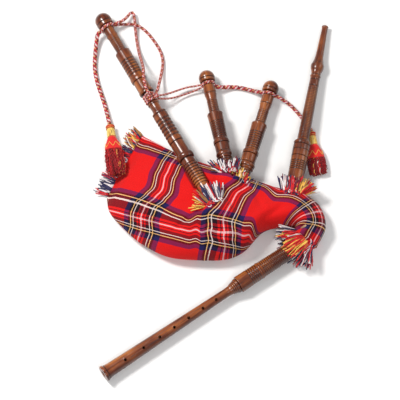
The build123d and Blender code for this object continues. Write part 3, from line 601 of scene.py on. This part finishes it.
def make_winding(name, materials):
    """Turns of cord wound round a pipe, a little uneven, and trefoil knots beside them."""
    node, body, pipe, s, radius, diameter, turns, spread, lean, knots = WINDINGS[name]
    root, along, up, side = pipe_frame(pipe)
    tubes = Tubes()
    rng = random.Random(name)
    distance = radius + diameter / 2 - 0.0001
    for k in range(turns):
        centre = s + (k - (turns - 1) / 2) * spread
        tilt, phase = lean * rng.uniform(0.6, 1.2), rng.uniform(0, 6.28)
        line = [root + along * (centre + tilt * math.sin(a + phase)) + swung(up, side, a) * distance
                for a in (turn_share(i, 72) for i in range(72))]
        braid(tubes, line, diameter, closed=True)
    for (high, aside, travel), size in knots:
        heart = root + along * travel + up * high + side * aside
        line = []
        for a in (turn_share(i, 60) for i in range(60)):
            x, y = (math.sin(a) + 2 * math.sin(2 * a)) / 3, (math.cos(a) - 2 * math.cos(2 * a)) / 3
            line.append(heart + (along * x + side * y - up * (math.sin(3 * a) * 0.5)) * size)
        braid(tubes, line, diameter * 0.72, closed=True)
    keep_piece(tubes.build(name, materials), body, node)


# ---- tassels
# Each tassel in millimetres: its start and end, how far it hangs below the end of its cord's tube, how
# loosely it is tied (a share), and how much of its skirt is worn off.
TASSELS = {"left": ((-144.5, 124.5, 7.6), (-131.6, 30.0, 25.6), 8.5, 1.06, 0),
           "right": ((161.0, 108.6, 7.0), (172.5, 31.0, 7.6), 2, 0.86, 6)}
HALF_HEIGHT = 0.0064
SLEEVE_START, HEAD_START, HEAD_END = 0.0056, 0.0214, 0.0424
KNOB_OUTLINE = [(0.0, 0.0030), (0.0010, 0.0056), (0.0030, 0.0062), (0.0050, 0.0052), (0.0056, 0.0040)]
HEAD_OUTLINE = [(0.0214, 0.0050), (0.0222, 0.0062), (0.0260, 0.0080), (0.0320, 0.0102), (0.0380, 0.0120),
                (0.0424, 0.0130), (0.0430, 0.0118)]
SKIRT_COLORS = ["red", "maroon", "dark", "white", "gold"]


class Tassel:
    """A tassel that lies on its side. Its pieces are made in order from the cord downwards."""

    def __init__(self, side, silk):
        start, end, slip, self.loose, trim = TASSELS[side]
        start, end = Vector(start) * MM, Vector(end) * MM
        self.along = (end - start).normalized()
        self.start = start + self.along * slip * MM
        self.up = (Vector((0, 0, 1)) - self.along * self.along.z).normalized()
        self.across = self.along.cross(self.up)
        self.skirt_end = (end - self.start).length - trim * MM
        self.name, self.silk, self.pieces = f"tassel_{side}", silk, []
        self.rng = random.Random(f"tassel {side}")
        for make in (self.make_knob, self.make_sleeve, self.make_head, self.make_zigzag, self.make_skirt):
            make()

    def at(self, angle, radius, s, tall):
        """A point on the oval section at s, which is no taller than `tall` each way."""
        height = min(radius, tall)
        return (self.start + self.along * s + self.up * math.cos(angle) * height
                + self.across * math.sin(angle) * radius)

    def ring(self, radius, s, tall, count=40):
        return [self.at(turn_share(i, count), radius, s, tall) for i in range(count)]

    def keep(self, piece, node=None):
        keep_piece(piece, "bag", node and f"{self.name}_{node}")
        self.pieces.append(piece)

    def build(self, tubes, name, colors):
        return tubes.build(f"{self.name}_{name}", [self.silk[color] for color in colors])

    def make_knob(self):
        """A ball wound with red and gold thread."""
        tubes = Tubes()
        for k in range(9):
            s = 0.0004 + k * 0.00058
            radius = math.sqrt(max(0.0, 1 - ((s - 0.0030) / 0.0037) ** 2)) * 0.0062 * self.loose
            tubes.add(self.ring(radius, s, 0.0062), 0.00045, 5, 1 if k in (1, 2, 7) else 0, closed=True)
        outline = smooth_line(KNOB_OUTLINE, 6)
        first, sides = len(tubes.verts), 24
        for p in outline:
            tubes.verts += self.ring(p.y * self.loose, p.x, p.y, sides)
        for i in range(len(outline) - 1):
            tubes.faces += ring_faces(first + i * sides, first + (i + 1) * sides, sides)
            tubes.indices += [0] * sides
        self.keep(self.build(tubes, "thread_knob", ["red", "gold"]), "knob")

    def make_sleeve(self):
        """Threads of yellow silk laid along the tassel, and a red thread round each end."""
        tubes = Tubes()
        for k in range(34):
            line = [self.at(turn_share(k, 34) + 0.12 * math.sin(t * 5 + k),
                            (0.0050 + 0.0009 * t) * self.loose, SLEEVE_START + 0.0164 * t, 0.0056)
                    for t in (0, 0.2, 0.4, 0.6, 0.8, 1)]
            tubes.add(line, 0.00062, 5, 1 if self.rng.random() < 0.22 else 0)
        for s in (0.0064, 0.0212):
            tubes.add(self.ring(0.0060 * self.loose, s, 0.0060), 0.0005, 5, 2, closed=True)
        self.keep(self.build(tubes, "silk_sleeve", ["yellow", "gold", "red"]), "sleeve")

    def make_head(self):
        """A red felt cone."""
        verts, faces, sides = [], [], 48
        outline = smooth_line(HEAD_OUTLINE, 6)
        for p in outline:
            for angle in (turn_share(k, sides) for k in range(sides)):
                fade = max(0, min(1, (p.x - HEAD_START) / 0.01))
                ripple = 0.00022 * math.sin(angle * 14 + p.x * 300) * fade
                verts.append(self.at(angle, p.y + ripple, p.x, HALF_HEIGHT + ripple))
        for i in range(len(outline) - 1):
            faces += ring_faces(i * sides, (i + 1) * sides, sides)
        faces.append(tuple(range(sides)))
        faces.append(tuple(reversed(range(len(verts) - sides, len(verts)))))
        head = mesh_object(f"{self.name}_felt_head", verts, faces, [self.silk["felt"]])
        self.keep(head, "head")

    def make_zigzag(self):
        """A gold thread that zig-zags seven times round the head."""
        line = []
        for angle in (turn_share(i, 160) for i in range(160)):
            rise = 0.0080 * abs((angle * 7 / math.pi) % 2 - 1)
            line.append(self.at(angle, 0.0105 + rise * 0.30, 0.0315 + rise, HALF_HEIGHT + 0.0002))
        tubes = Tubes()
        tubes.add(line, 0.00042, 5, closed=True)
        self.keep(self.build(tubes, "zigzag_thread", ["gold"]))

    def make_skirt(self):
        """Twisted silk strands that hang from under the head."""
        tubes, rng, first = Tubes(), self.rng, HEAD_END - 0.003
        for k in range(210):
            angle = rng.uniform(0, 2 * math.pi)
            inner = rng.uniform(0.45, 1.0)
            reach = self.skirt_end - rng.choice((0.0005, 0.001, 0.002, 0.004, 0.007))
            sway, phase = rng.uniform(0.0004, 0.0011), rng.uniform(0, 6.28)
            pick = rng.random()
            index = 3 if pick < 0.035 else 4 if pick < 0.07 else 1 if pick < 0.55 else 2 if pick < 0.8 else 0
            line, turns = [], rng.uniform(1.5, 3) if index > 2 else rng.uniform(5, 9)
            for t in (i / 44 for i in range(45)):
                swell = math.sin(min(1, t * 1.25) * math.pi / 2)
                radius = inner * (0.0112 + 0.0036 * swell - 0.0015 * t ** 4)
                point = self.at(angle + 0.12 * math.sin(t * 4 + phase), radius, first + (reach - first) * t,
                                (HALF_HEIGHT - 0.0012) * inner)
                twirl = t * turns * 2 * math.pi + phase
                line.append(point + self.across * (sway * math.sin(t * 7 + phase) + 0.0008 * math.sin(twirl))
                            + self.up * 0.0007 * math.cos(twirl))
            tubes.add(line, rng.uniform(0.00055, 0.00085), 5, index, taper=lambda t: 1 - 0.45 * t ** 3)
        self.keep(self.build(tubes, "silk_skirt", SKIRT_COLORS), "skirt")


# ---- bag
BAG_STATIONS = [
    ((-97, 104), (-148, 6), 8), ((-73, 88), (-143, -23), 24), ((-50, 74), (-123, -49), 38),
    ((-25, 61), (-97, -74), 47), ((2, 50), (-58, -96), 54), ((30, 40), (-15, -102), 57),
    ((58, 30), (28, -101), 56), ((86, 20), (58, -88), 52), ((115, 11), (84, -58), 47),
    ((146, 4), (108, -49), 45), ((172, -16), (125, -49), 44), ((181, -48), (135, -48), 44),
    ((168, -79), (130, -62), 42),
]
# Section from the middle of the underside, round the upper edge, over the top and back: shares of width,
# height.
BAG_SECTION = [
    (0.50, 0.00), (0.25, 0.00), (0.10, 0.01), (0.03, 0.12), (0.00, 0.34), (0.04, 0.56), (0.14, 0.73),
    (0.33, 0.86),
    (0.50, 0.95), (0.66, 0.99), (0.82, 0.88), (0.95, 0.62), (1.00, 0.34), (0.97, 0.12), (0.90, 0.01),
    (0.75, 0.00),
    (0.50, 0.00),
]
SECTION_STEPS = 12
EDGE_POINT = 4              # the section's point on the upper edge, where v is 0
U_START_STATION = 2         # the station where u is 0
# Where each stock comes out of the cover: seam, inner end, stock radius, radius of the pipe that lies on it.
TIED = {"bass": (-34, -52, 9.3, 11.9), "tenor_left": (-20, -34, 9.0, 12.8),
        "tenor_right": (-20, -34, 9.0, 12.8), "blowpipe": (-39, -55, 12.3, 13.6)}
# Folds of the cover seen from above: start, end, half width, height (below zero is a valley), in millimetres.
FOLDS = [
    ((-2, -30), (-46, -64), 4.0, -3.4), ((6, -34), (-34, -74), 7.0, 1.6), ((-14, -16), (-64, -26), 7.0, -1.3),
    ((134, -14), (88, -44), 5.0, -3.0), ((126, -2), (96, -20), 4.5, -1.8), ((140, -24), (104, -50), 6.0, 1.8),
    ((126, -59), (152, -55), 3.6, -7.0), ((148, -54), (178, -42), 3.6, -3.6), ((40, 22),
    (30, -30), 5.0, -1.6),
    ((66, 12), (88, -34), 5.0, -1.6), ((76, 8), (60, -52), 8.0, 1.4), ((112, -6), (74, -46), 7.0, 1.3),
    ((-60, 40), (-104, -10), 9.0, -1.0), ((20, -50), (62, -86), 8.0, 1.5), ((150, -70),
    (172, -62), 4.0, -1.5),
    ((140, -66), (166, -58), 4.5, 2.4),
]


def smoothstep(a, b, x):
    t = min(1.0, max(0.0, (x - a) / (b - a)))
    return t * t * (3 - 2 * t)


def mixed(a, b, share):
    return a + (b - a) * share


def bag_middle(count):
    """The bag's middle line: places along the stations, and the distance travelled at each."""
    middles = [(Vector(upper) + Vector(lower)) / 2 for upper, lower, _ in BAG_STATIONS]
    places = [i * (len(BAG_STATIONS) - 1) / count for i in range(count + 1)]
    points = [catmull(middles, t) for t in places]
    travel = [0.0]
    for a, b in zip(points, points[1:]):
        travel.append(travel[-1] + (b - a).length)
    return places, travel


def spaced(travel, count):
    """Evenly spaced distances along a line, each with the stretch that it falls in and its share of that."""
    k = 0
    for i in range(count + 1):
        target = travel[-1] * i / count
        while k < len(travel) - 2 and travel[k + 1] < target:
            k += 1
        yield target, k, (target - travel[k]) / max(travel[k + 1] - travel[k], 1e-9)


def bag_rings(lengthwise, around):
    """Rings of (point, u, v) in millimetres along the bag, from the tail edge to the neck's mouth."""
    uppers = [Vector((*upper, 0)) for upper, _, _ in BAG_STATIONS]
    lowers = [Vector((*lower, 0)) for _, lower, _ in BAG_STATIONS]
    heights = [height for _, _, height in BAG_STATIONS]
    section = smooth_line(BAG_SECTION, SECTION_STEPS)
    places, travel = bag_middle(400)
    u_start = travel[round(U_START_STATION * 400 / (len(BAG_STATIONS) - 1))]
    rings = []
    for target, k, share in spaced(travel, lengthwise):
        t = min(places[k] + (places[k + 1] - places[k]) * share, len(BAG_STATIONS) - 1.0001)
        upper, lower, height = catmull(uppers, t), catmull(lowers, t), catmull(heights, t)
        thin = 0.35 + 0.65 * smoothstep(0, 22, target)
        tall = (height - 1.0) * thin
        outline = [upper.lerp(lower, p.x) + Vector((0, 0, 1.0 + tall * p.y)) for p in section]
        lengths = [0.0]
        for a, b in zip(outline, outline[1:]):
            lengths.append(lengths[-1] + (b - a).length)
        edge = lengths[EDGE_POINT * SECTION_STEPS]
        rings.append([(outline[j].lerp(outline[j + 1], part), target - u_start, goal - edge)
                      for goal, j, part in spaced(lengths, around)])
    return rings


LOW_CLOTH = 6       # below this height the cloth lies on the floor, and no stock moves it


def near_fold(x, y, fold):
    (x1, y1), (x2, y2), width, height = fold
    dx, dy = x2 - x1, y2 - y1
    length = math.hypot(dx, dy)
    t = ((x - x1) * dx + (y - y1) * dy) / length ** 2
    off = abs((x - x1) * dy - (y - y1) * dx) / length
    if off > 3 * width or not -0.3 < t < 1.3:
        return 0.0
    ends = smoothstep(-0.25, 0.2, t) * (1 - smoothstep(0.7, 1.25, t))
    return height * math.exp(-(off / width) ** 2) * ends


def ripples(x, y):
    """The cloth's small unevenness."""
    return (noise(Vector((x / 55, y / 38, 3.1))) * 2.2 + noise(Vector((x / 24, y / 15, 7.7))) * 0.9
            + noise(Vector((x / 9, y / 7, 1.7))) * 0.22)


def pressed(x, y, z, top, stock, inside):
    """The cloth's height by a stock: gathered at its seam, lifted over its hidden end, hollow under its pipe."""
    root, along, up, side, seam, inner, r, wide = stock
    rel = Vector((x, y, z)) - root
    s, lateral, height = rel.dot(along), rel.dot(side), rel.dot(up)
    if s > 110 or s < inner - 60 or abs(lateral) > 60:
        return z
    gather = math.hypot(s - seam, lateral)
    if s < seam + 6 and gather < 60 and not inside:
        angle = math.atan2(lateral, seam - s)
        fade = math.exp(-max(0.0, gather - r) / 13) * smoothstep(seam + 6, seam - 2, s)
        lift = 1.5 * math.cos(9 * angle + 3 * noise(Vector((angle, r, s / 30)))) * fade
        z += lift * top
        height += lift * top
    if s < seam and not inside:
        reach = 1.8 * (r + 1.2 + 2.0 * smoothstep(seam, inner, s))
        if height > -4 and abs(lateral) < reach:
            rise = math.sqrt(max(0.0, 1 - (lateral / reach) ** 2)) * reach * 1.06 / 1.8 - height
            soft = rise if rise > 4 else (0 if rise < -4 else (rise + 4) ** 2 / 16)
            ahead = 1 - smoothstep(inner + 2, inner - 26, s)
            z += soft * ahead * (1.0 if height > 0 else smoothstep(-4, 0, height))
    elif s >= seam:
        clear = r + 1.4 if s < 1 else wide + 1.2
        if abs(lateral) < clear and height > -clear:
            z += min(0.0, -math.sqrt(clear * clear - lateral * lateral) - height)
    return z


def make_bag_surface(lengthwise, around, inside=False):
    """The cover's points, with the hollows and bulges that the stocks press in it, gathers and folds."""
    stocks = []
    for name, tied in TIED.items():
        root, along, up, side = pipe_frame(name)
        stocks.append((root / MM, along, up, side, *tied))
    grid = []
    for i, ring in enumerate(bag_rings(lengthwise, around)):
        row = []
        for m, (point, u, v) in enumerate(ring):
            share = m / around
            top = smoothstep(0.18, 0.30, share) * (1 - smoothstep(0.74, 0.84, share))
            x, y, z = point
            if top > 0 and not inside:
                z += ripples(x, y) * top * smoothstep(2, 40, i * 300 / lengthwise)
                z += sum(near_fold(x, y, fold) for fold in FOLDS) * top
            for stock in stocks:
                if z < LOW_CLOTH:
                    break
                z = pressed(x, y, z, top, stock, inside)
            row.append((Vector((x, y, max(z, 1.0))), u, v))
        grid.append(row)
    return grid


# How far the stripes have slipped from a straight weave, in millimetres: along u by the distance v from
# the upper edge, at the tail end and near the neck, and in the lower half by the place x; then along v by
# the place x, in the whole lower half and at its hem.
SLIP_TAIL = [(8, -1), (30, -2), (52, 1), (82, 9), (96, 6), (112, 0), (125, 1), (155, 11)]
SLIP_NECK = [(28, 14), (52, 4), (97, 4), (122, 10), (140, 15)]
SLIP_LOW = [(-40, 0), (2, -12), (30, -5), (60, -2.5), (90, 0)]
SAG = [(-107, 5), (-73, 6.5), (-36, 13), (-24, 15.5), (-10, 6), (10, 0), (55, -6), (70, -11), (86, -8),
       (100, 0)]
HEM = [(-107, 13), (-73, 10), (-36, 3), (-22, 0), (-4, 7), (70, 8), (100, 0)]


def eased(knots, x):
    """A value that goes smoothly from knot to knot, each a (position, value)."""
    for (a, p), (b, q) in zip(knots, knots[1:]):
        if x < b:
            return p + (q - p) * smoothstep(a, b, x)
    return knots[-1][1]


CHANTER_SEAM = -43
MOUTH_HEM = [(0.0175, -0.002), (0.0142, 0.001), (0.0138, 0.010)]     # radius, and how deep inside the mouth


def cloth_uv(u, v, x):
    """Where the stripes run: pulled round the stocks, tucked under the bass ruff and turned at the neck."""
    lean = (1 - smoothstep(8, 80, v)) * math.exp(-((u - 138) / 46) ** 2)
    slip = mixed(eased(SLIP_TAIL, v), eased(SLIP_NECK, v), smoothstep(-34, 4, x))
    slip = mixed(slip, 5, smoothstep(150, 182, u))
    slip += eased(SLIP_LOW, x) * smoothstep(70, 104, v)
    stretch = 25 * smoothstep(168, 218, u) - 16 * smoothstep(222, 246, u)
    sink = eased(SAG, x) * smoothstep(50, 88, v) + eased(HEM, x) * smoothstep(104, 132, v)
    sink -= 9 * (1 - smoothstep(-142, -88, x)) * (1 - smoothstep(18, 52, v))
    turn = smoothstep(172, 202, u)
    return (u - 12 * lean - slip - stretch - 16) * MM, (v - mixed(sink, 14, turn) - 117) * MM


def bag_mesh(name, grid, material, wrap_mouth=True):
    """The cloth over the grid, with its stripes' coordinates. Its mouth is turned in, or closed."""
    rows, columns = len(grid), len(grid[0]) - 1
    verts = [point * MM for row in grid for point, _, _ in row[:-1]]
    faces, coordinates = [], []

    def add_face(corners, cloth):
        faces.append(tuple(reversed(corners)))
        coordinates.extend(reversed(cloth))

    def add_band(a, b, near, far, shift=(0, 0)):
        for m in range(columns):
            n = (m + 1) % columns
            corners = zip((near[m], far[m], far[m + 1], near[m + 1]), (shift[0], shift[1], shift[1], shift[0]))
            add_face((a + m, b + m, b + n, a + n), [cloth_uv(u + d, v, p.x) for (p, u, v), d in corners])

    for i in range(rows - 1):
        add_band(i * columns, (i + 1) * columns, grid[i], grid[i + 1])
    last = (rows - 1) * columns
    if wrap_mouth:
        root, along, _, _ = pipe_frame("chanter")
        centre = root + along * CHANTER_SEAM * MM
        rim = [verts[last + m] - centre for m in range(columns)]
        rim = [(rel - along * rel.dot(along)).normalized() for rel in rim]
        for step, (radius, deep) in enumerate(MOUTH_HEM):
            verts += [centre + rel * radius - along * deep for rel in rim]
            a = last + step * columns
            add_band(a, a + columns, grid[-1], grid[-1], (3 * step, 3 * step + 3))
    else:
        add_face(range(last, last + columns), [(0, 0)] * columns)
    add_face(range(columns - 1, -1, -1), [(0, 0)] * columns)
    piece = mesh_object(name, verts, faces, [material])
    layer = piece.data.uv_layers.new(name="cloth")
    layer.data.foreach_set("uv", [value for pair in coordinates for value in pair])
    return piece


def make_bag(cloth, hide):
    surface = make_bag_surface(300, 260)
    cover = bag_mesh("bag_tartan_cover", surface, cloth)
    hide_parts("bag_cover", "neck_cover")
    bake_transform(cover)
    surface = make_bag_surface(100, 80, inside=True)[4:-4]
    lining = bag_mesh("bag_hide_inside", surface, hide, wrap_mouth=False)
    normals = [vertex.normal.copy() for vertex in lining.data.vertices]
    for vertex, normal in zip(lining.data.vertices, normals):
        vertex.co -= normal * 0.0050
    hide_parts("air_bag", "neck_liner")
    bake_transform(lining)


# ---- fringes
# Each ruff: its pipe and body, the stock's radius, how many yarns, the longest yarn in millimetres and
# how far in degrees the yarns splay, both on the left, on top and on the right, and their colours from
# the pipe's left side over the top to its right side and back underneath.
RUFFS = {
    "bass_ruff": ("bass", "bag", 9.3, 200, (33, 30, 30), (78, 22, 48),
                  "byyywrbnrwnnwwnmwwrnmwnwwnrrmnwrnrrmrrbrrwnrmrrm"),
    "tenor_left_ruff": ("tenor_left", "bag", 9.0, 150, (31, 15, 24), (80, 16, 44),
                        "bnbnrwnmwwnmwnmrnwybrybbyrwnrrmwrb"),
    "tenor_right_ruff": ("tenor_right", "bag", 9.0, 150, (27, 17, 10), (64, 26, 24),
                         "ybyrbyywbrynyrnrrmryrrwrrnwrrrn"),
    "blowpipe_ruff": ("blowpipe", "bag", 12.3, 200, (29, 25, 31), (24, 18, 66),
                      "nnwmnwrrnwrmryybrrryywyrryyrwrmmrnrrwnrrmr"),
    "chanter_ruff": ("chanter", "chanter_unit", 12.0, 230, (39, 40, 41), (58, 18, 50),
                     "nwnmwwryryyryryyrryrnwwnnwmnwnmwrryrrwnmrwnwnrr"),
}
YARN_KEYS = {"r": 0, "w": 1, "n": 2, "y": 3, "m": 4, "b": 5}
TAIL_COLORS = "bnrybrnbymnrrmrnwnmrrrmrwnwrnnnwwnnwnr"
TAIL_YARNS = 150
TAIL_OUTWARD = Vector((-0.886, 0.463, 0))
FLOOR = 0.0016


def yarn_strand(tubes, base, direction, length, wander, bend, radius, index):
    """One yarn of a fringe: leaves along `direction`, wanders sideways and droops."""
    points = []
    for i in range(9):
        t = i / 8
        point = base + direction * length * t
        point += wander * (math.sin(t * 2.6) * 0.75 + 0.25 * math.sin(t * 8))
        point += bend * t * t
        point.z = max(point.z, FLOOR)
        points.append(point)
    tubes.add(points, radius, 6, index, taper=lambda t: 1 - 0.3 * t ** 5)


def by_side(left_top_right, angle):
    """A value between those on the left, on top and on the right, at an angle round a pipe."""
    left, top, right = left_top_right
    return mixed(top, left if math.cos(angle) < 0 else right, abs(math.cos(angle)) ** 1.5)


def make_ruff(node, materials):
    pipe, body, stock_r, count, length, splay, colors = RUFFS[node]
    seam = CHANTER_SEAM if pipe == "chanter" else TIED[pipe][0]
    root, along, up, side = pipe_frame(pipe)
    rng = random.Random(node)
    tubes = Tubes()
    for k in range(count):
        # Share 0 is the left of the pipe, 0.25 the top, 0.5 the right, 0.75 underneath.
        share = ((k + rng.uniform(-0.5, 0.5)) / count) % 1
        angle = math.pi * (1 - 2 * share)
        outward = swung(side, up, angle).normalized()
        index = YARN_KEYS[colors[int(share * len(colors)) % len(colors)]]
        if rng.random() < 0.12:
            index = rng.choice((0, 0, 1, 2, 4))
        lean = math.radians(by_side(splay, angle) * rng.uniform(0.25, 1.05))
        direction = swung(along, outward, lean)
        base = root + along * ((seam - rng.uniform(0, 3)) * MM)
        base += outward * ((stock_r + rng.uniform(1.6, 4.0)) * MM)
        reach = by_side(length, angle) * MM * rng.uniform(0.62, 1.05)
        reach *= 1 - 0.22 * abs(math.cos(angle)) * math.sin(lean)
        across = direction.cross(outward).normalized()
        wander = across * rng.uniform(-0.0052, 0.0052) + outward * rng.uniform(-0.0012, 0.0018)
        bend = Vector((0, 0, -1)) * rng.uniform(0.001, 0.006) * max(0.2, math.sin(angle))
        bend += across * rng.uniform(-0.004, 0.004)
        yarn_strand(tubes, base, direction, reach, wander, bend, rng.uniform(0.00085, 0.00125), index)
    # Gathered loops of yarn along the seam, fallen back on the cloth.
    loops = 64
    for k in range(loops):
        angle = 2 * math.pi * (k + rng.uniform(-0.4, 0.4)) / loops
        outward, around = swung(side, up, angle), swung(up, side, -angle)
        size = rng.uniform(0.0022, 0.0042)
        centre = root + along * ((seam - rng.uniform(0.5, 5.0)) * MM)
        centre += outward * ((stock_r + rng.uniform(3.4, 5.4)) * MM)
        roll = rng.uniform(-1.2, 1.2)
        first = swung(along, around, roll) * size
        second = (outward * 0.4 + swung(around, -along, roll)) * (0.55 * size)
        line = [centre + swung(first, second, turn_share(i, 12)) for i in range(12)]
        for point in line:
            point.z = max(point.z, FLOOR)
        tubes.add(line, rng.uniform(0.0007, 0.0009), 5, rng.choice((0, 0, 1, 0, 2, 4, 1)), closed=True)
    keep_piece(tubes.build(node.replace("_ruff", "_yarn_ruff"), materials), body, node)


def make_tail_fringe(materials):
    upper, lower = (Vector((*edge, 0)) * MM for edge in BAG_STATIONS[0][:2])
    edge, sky = lower - upper, Vector((0, 0, 1))
    rng = random.Random("tail")
    tubes = Tubes()
    for k in range(TAIL_YARNS):
        share = min(1, max(0, (k + rng.uniform(-0.4, 0.4)) / (TAIL_YARNS - 1)))
        index = YARN_KEYS[TAIL_COLORS[min(int(share * len(TAIL_COLORS)), len(TAIL_COLORS) - 1)]]
        if rng.random() < 0.15:
            index = rng.choice((0, 1, 2, 4))
        base = upper + edge * share - TAIL_OUTWARD * 0.002
        base.z = 0.0024 + rng.uniform(0, 0.0018)
        lean = rng.uniform(-0.28, 0.28) + (0.25 if share < 0.25 else -0.10)
        direction = (TAIL_OUTWARD - edge.normalized() * lean + sky * rng.uniform(-0.02, 0.16)).normalized()
        across = direction.cross(sky).normalized()
        wander = across * rng.uniform(-0.003, 0.003) + sky * rng.uniform(0, 0.0022)
        length, bend = rng.uniform(0.015, 0.0245), across * rng.uniform(-0.004, 0.004)
        yarn_strand(tubes, base, direction, length, wander, bend, rng.uniform(0.0008, 0.0011), index)
    keep_piece(tubes.build("tail_yarn_fringe", materials), "bag", "tail_fringe")


# ---- the CAD's own nodes
def dress_cad_nodes():
    """Materials for the nodes that are shown with the CAD's own shapes."""
    cane, waxed = cane_material(), yarn_material("waxed_cord", (0.50, 0.36, 0.20), 0.5, 0.1)
    looks = {
        "_hemp": yarn_material("hemp_thread", (0.62, 0.46, 0.24)),
        "stock_bindings": waxed, "chanter_binding": waxed, "_reed": cane, "chanter_reed_blades": cane,
        "chanter_reed_staple": metal_material("brass_staple", (0.80, 0.58, 0.26)),
        "valve_seat": plain_material("valve_seat_plastic", (0.03, 0.03, 0.035), 0.4),
        "valve_flap": leather_material("valve_flap_leather", (0.25, 0.13, 0.06)),
    }
    woods = {}
    for pipe in PIPES:
        root, along, up, _ = pipe_frame(pipe)
        woods[pipe] = rosewood(f"rosewood_{pipe}", root, along, up, GROOVES[pipe.split("_")[0]])
    woods["mouthpiece"] = woods["blowpipe"]
    for name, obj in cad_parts.items():
        material = next((look for ending, look in looks.items() if name.endswith(ending)), None)
        if material is None and not name.endswith("_ruff"):
            material = next((wood for pipe, wood in woods.items() if name.startswith(pipe)), None)
        if material is None:
            continue
        if not obj.material_slots:
            obj.data.materials.append(material)
        for slot in obj.material_slots:
            slot.material = material


# ---- colours, and the scene
CORD_COLORS = {"red": (0.46, 0.012, 0.030), "white": (0.78, 0.56, 0.54), "gold": (0.62, 0.32, 0.12),
               "dark": (0.16, 0.006, 0.014)}
# Silks: colour, roughness, sheen.
SILKS = {"red": ((0.52, 0.006, 0.008), 0.4, 0.05), "maroon": ((0.30, 0.004, 0.008), 0.4, 0.05),
         "dark": ((0.12, 0.003, 0.006), 0.4, 0.05), "white": ((0.80, 0.66, 0.56), 0.5, 0.05),
         "gold": ((0.80, 0.42, 0.08), 0.45, 0.3), "yellow": ((0.84, 0.60, 0.16), 0.45, 0.3)}
YARNS = {"red": (0.62, 0.014, 0.020), "white": (0.80, 0.74, 0.74), "navy": (0.028, 0.026, 0.085),
         "yellow": (0.84, 0.50, 0.10), "maroon": (0.17, 0.010, 0.030), "brown": (0.36, 0.17, 0.055)}

make_camera()
cord_threads = [yarn_material(f"cord_{name}", color, 0.6, 0.1) for name, color in CORD_COLORS.items()]
silks = {name: yarn_material(f"silk_{name}", *look) for name, look in SILKS.items()}
silks["felt"] = felt_material("felt_red", (0.72, 0.012, 0.010))
for tassel_side in TASSELS:
    Tassel(tassel_side, silks).pieces
make_cords(cord_threads)
for winding in WINDINGS:
    make_winding(winding, cord_threads)
yarns = [yarn_material(f"yarn_{name}", color) for name, color in YARNS.items()]
make_bag(tartan("tartan_wool"), leather_material("bag_hide", (0.42, 0.26, 0.15)))
for ruff_node in RUFFS:
    make_ruff(ruff_node, yarns)
make_tail_fringe(yarns)
dress_cad_nodes()
make_studio()

bpy.context.view_layer.update()
